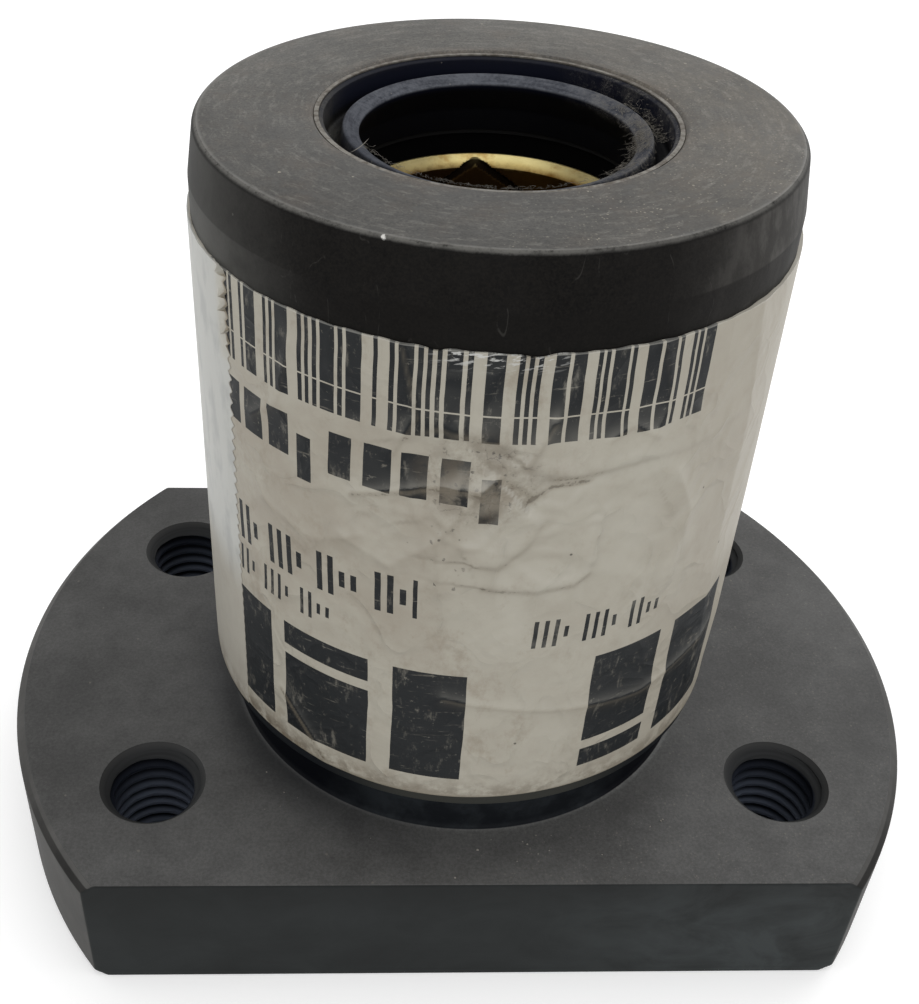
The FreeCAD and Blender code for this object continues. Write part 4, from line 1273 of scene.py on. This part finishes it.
class GUIDE_OT_lint(bpy.types.Operator):
    """Make the fibres round the lip and the crumbs on the flange round the neck."""
    bl_idname = "guide.lint"
    bl_label = "Lint and Crumbs"

    def execute(self, context):
        s = context.scene.guide_lint
        paths = fibre_paths(s)
        draw = np.random.default_rng(37)
        shell = Shell()
        thickness = s.fibre / MM * draw.uniform(0.6, 1.25, len(paths))
        thickness[-1] *= HAIR
        add_tubes(shell, sweep(paths, thickness, 3))
        make_piece("lint", shell, loose_bits("lint", s.fluff))
        crumbs = crumb_shell(s, context.scene.guide_housing)
        make_piece("crumbs", crumbs, loose_bits("crumbs", s.grit))
        return {"FINISHED"}


class GUIDE_OT_stage(bpy.types.Operator):
    """Make the floor, the light and the camera."""
    bl_idname = "guide.stage"
    bl_label = "Stage"

    def execute(self, context):
        s = context.scene.guide_stage
        make_floor(s)
        light_world(context.scene, s)
        for name, place, aim, size, watts in (
                ("overhead", (0.08, 0.06, 0.62), 0.03, (0.75, 0.75), s.overhead),
                ("left_side", (-0.62, 0.05, 0.30), 0.04, (0.5, 0.5), s.side),
                ("back", (0.60, 0.52, 0.40), 0.04, (0.9, 0.6), s.back),
                ("front", (0.12, -0.75, 0.38), 0.04, (0.9, 0.5), s.front)):
            hang_panel(name, place, (0.0, 0.0, aim), size, watts)
        set_camera(context.scene, s)
        context.scene.view_settings.view_transform = "Standard"
        return {"FINISHED"}


def seen_directly(f):
    """1 for rays from the camera, mirrors and glass, so that they meet a white surround."""
    path = f.node("ShaderNodeLightPath", output="Is Camera Ray")
    sockets = path.socket.node.outputs
    glossy, through = Wire(f, sockets["Is Glossy Ray"]), Wire(f, sockets["Is Transmission Ray"])
    return f.least(path + glossy + through, 1.0)


def make_floor(s):
    """Pale floor: a wide level square that keeps the shadow and is lifted to white in the camera's view, more
    so far out, where the panels don't reach."""
    f = Finish("floor")
    place, *_, radius = f.spot()
    grain = f.noise(place, 40.0, 2.0)
    tone = f.blend(grain * 0.04, s.floor, tuple(0.9 * value for value in s.floor))
    paint = f.node("ShaderNodeBsdfDiffuse", None, {"Color": tone})
    far = f.step(radius, 250.0, 1300.0)
    white = f.blend(far, (s.lift, s.lift, s.lift), (0.6, 0.6, 0.6))
    glow = f.node("ShaderNodeEmission", None, {"Color": white, "Strength": seen_directly(f)})
    both = f.node("ShaderNodeAddShader", None, {0: paint, 1: glow})
    f.node("ShaderNodeOutputMaterial", None, {"Surface": both})
    reach, level = 4.0, -2e-5
    mesh = bpy.data.meshes.new("floor")
    corners = ((-reach, -reach), (reach, -reach), (reach, reach), (-reach, reach))
    mesh.from_pydata([(x, y, level) for x, y in corners], [], [(0, 1, 2, 3)])
    mesh.materials.append(f.owner)
    floor = bpy.data.objects.new("floor", mesh)
    bpy.context.scene.collection.objects.link(floor)


def light_world(scene, s):
    """Even light from all round, white where the camera or a reflection looks at it."""
    f = Finish("surround", "worlds")
    strength = s.sky + (1.0 - s.sky) * seen_directly(f)
    sky = f.node("ShaderNodeBackground", None, {"Color": (1.0, 1.0, 1.0, 1.0), "Strength": strength})
    f.node("ShaderNodeOutputWorld", None, {"Surface": sky})
    scene.world = f.owner


def hang_panel(name, place, target, size, watts):
    """Soft panel that faces a point."""
    lamp = bpy.data.lights.new(name, "AREA")
    lamp.shape = "RECTANGLE"
    lamp.size, lamp.size_y = size
    lamp.energy = watts
    panel = bpy.data.objects.new(name, lamp)
    back = np.array(place) - np.array(target)
    back = back / np.linalg.norm(back)
    aside = np.cross((0.0, 1.0, 0.0), back)
    aside = aside / np.linalg.norm(aside)
    panel.matrix_world = frame_matrix(aside, np.cross(back, aside), back, place)
    bpy.context.scene.collection.objects.link(panel)


def frame_matrix(right, up, back, place):
    """Placement whose columns are a frame's three directions and its place."""
    columns = np.column_stack([right, up, back, place])
    return Matrix(np.vstack([columns, (0.0, 0.0, 0.0, 1.0)]).tolist())


def set_camera(scene, s):
    """Camera at the photograph's view: angles in radians, distances in millimetres, picture in pixels."""
    heading, tilt, roll = 0.0489, 0.6522, 0.0373
    distance, aside_shift, aim_height = 137.144, -7.532, 38.231
    wide, high, centre_x, centre_y = 919.0, 1004.0, 397.61, 496.33
    ahead = np.array([math.sin(heading) * math.cos(tilt), math.cos(heading) * math.cos(tilt), -math.sin(tilt)])
    level = np.array([math.cos(heading), -math.sin(heading), 0.0])
    upright = np.cross(level, ahead)
    right = math.cos(roll) * level + math.sin(roll) * upright
    up = -math.sin(roll) * level + math.cos(roll) * upright
    place = (np.array([0.0, 0.0, aim_height]) - ahead * distance + right * aside_shift) * MM
    data = bpy.data.cameras.new("camera")
    data.sensor_fit = "AUTO"
    data.sensor_width = 36.0
    data.lens = s.lens
    data.shift_x = (wide / 2 - centre_x) / high
    data.shift_y = (centre_y - high / 2) / high
    data.clip_start = 0.005
    camera = bpy.data.objects.new("camera", data)
    camera.matrix_world = frame_matrix(right, up, -ahead, place)
    scene.collection.objects.link(camera)
    scene.camera = camera


class GUIDE_PT_panel(bpy.types.Panel):
    """Buttons and settings of the guide bush."""
    bl_idname = "GUIDE_PT_panel"
    bl_label = "Guide Bush"
    bl_space_type = "VIEW_3D"
    bl_region_type = "UI"
    bl_category = "Guide Bush"

    def draw(self, context):
        for name, (group, operator) in GROUPS.items():
            box = self.layout.box()
            box.operator(operator.bl_idname)
            for key in group.__annotations__:
                box.prop(getattr(context.scene, name), key)


GROUPS = {
    "guide_housing": (HousingSettings, GUIDE_OT_housing),
    "guide_bushes": (BushSettings, GUIDE_OT_bushes),
    "guide_wipers": (WiperSettings, GUIDE_OT_wipers),
    "guide_label": (LabelSettings, GUIDE_OT_label),
    "guide_lint": (LintSettings, GUIDE_OT_lint),
    "guide_stage": (StageSettings, GUIDE_OT_stage),
}


def register():
    for name, (group, operator) in GROUPS.items():
        bpy.utils.register_class(group)
        bpy.utils.register_class(operator)
        setattr(bpy.types.Scene, name, PointerProperty(type=group))
    bpy.utils.register_class(GUIDE_PT_panel)


def unregister():
    bpy.utils.unregister_class(GUIDE_PT_panel)
    for name, (group, operator) in GROUPS.items():
        delattr(bpy.types.Scene, name)
        bpy.utils.unregister_class(operator)
        bpy.utils.unregister_class(group)


def main():
    register()
    bpy.ops.guide.housing()
    bpy.ops.guide.bushes()
    bpy.ops.guide.wipers()
    bpy.ops.guide.label()
    bpy.ops.guide.lint()
    bpy.ops.guide.stage()


if __name__ == "__main__":
    main()
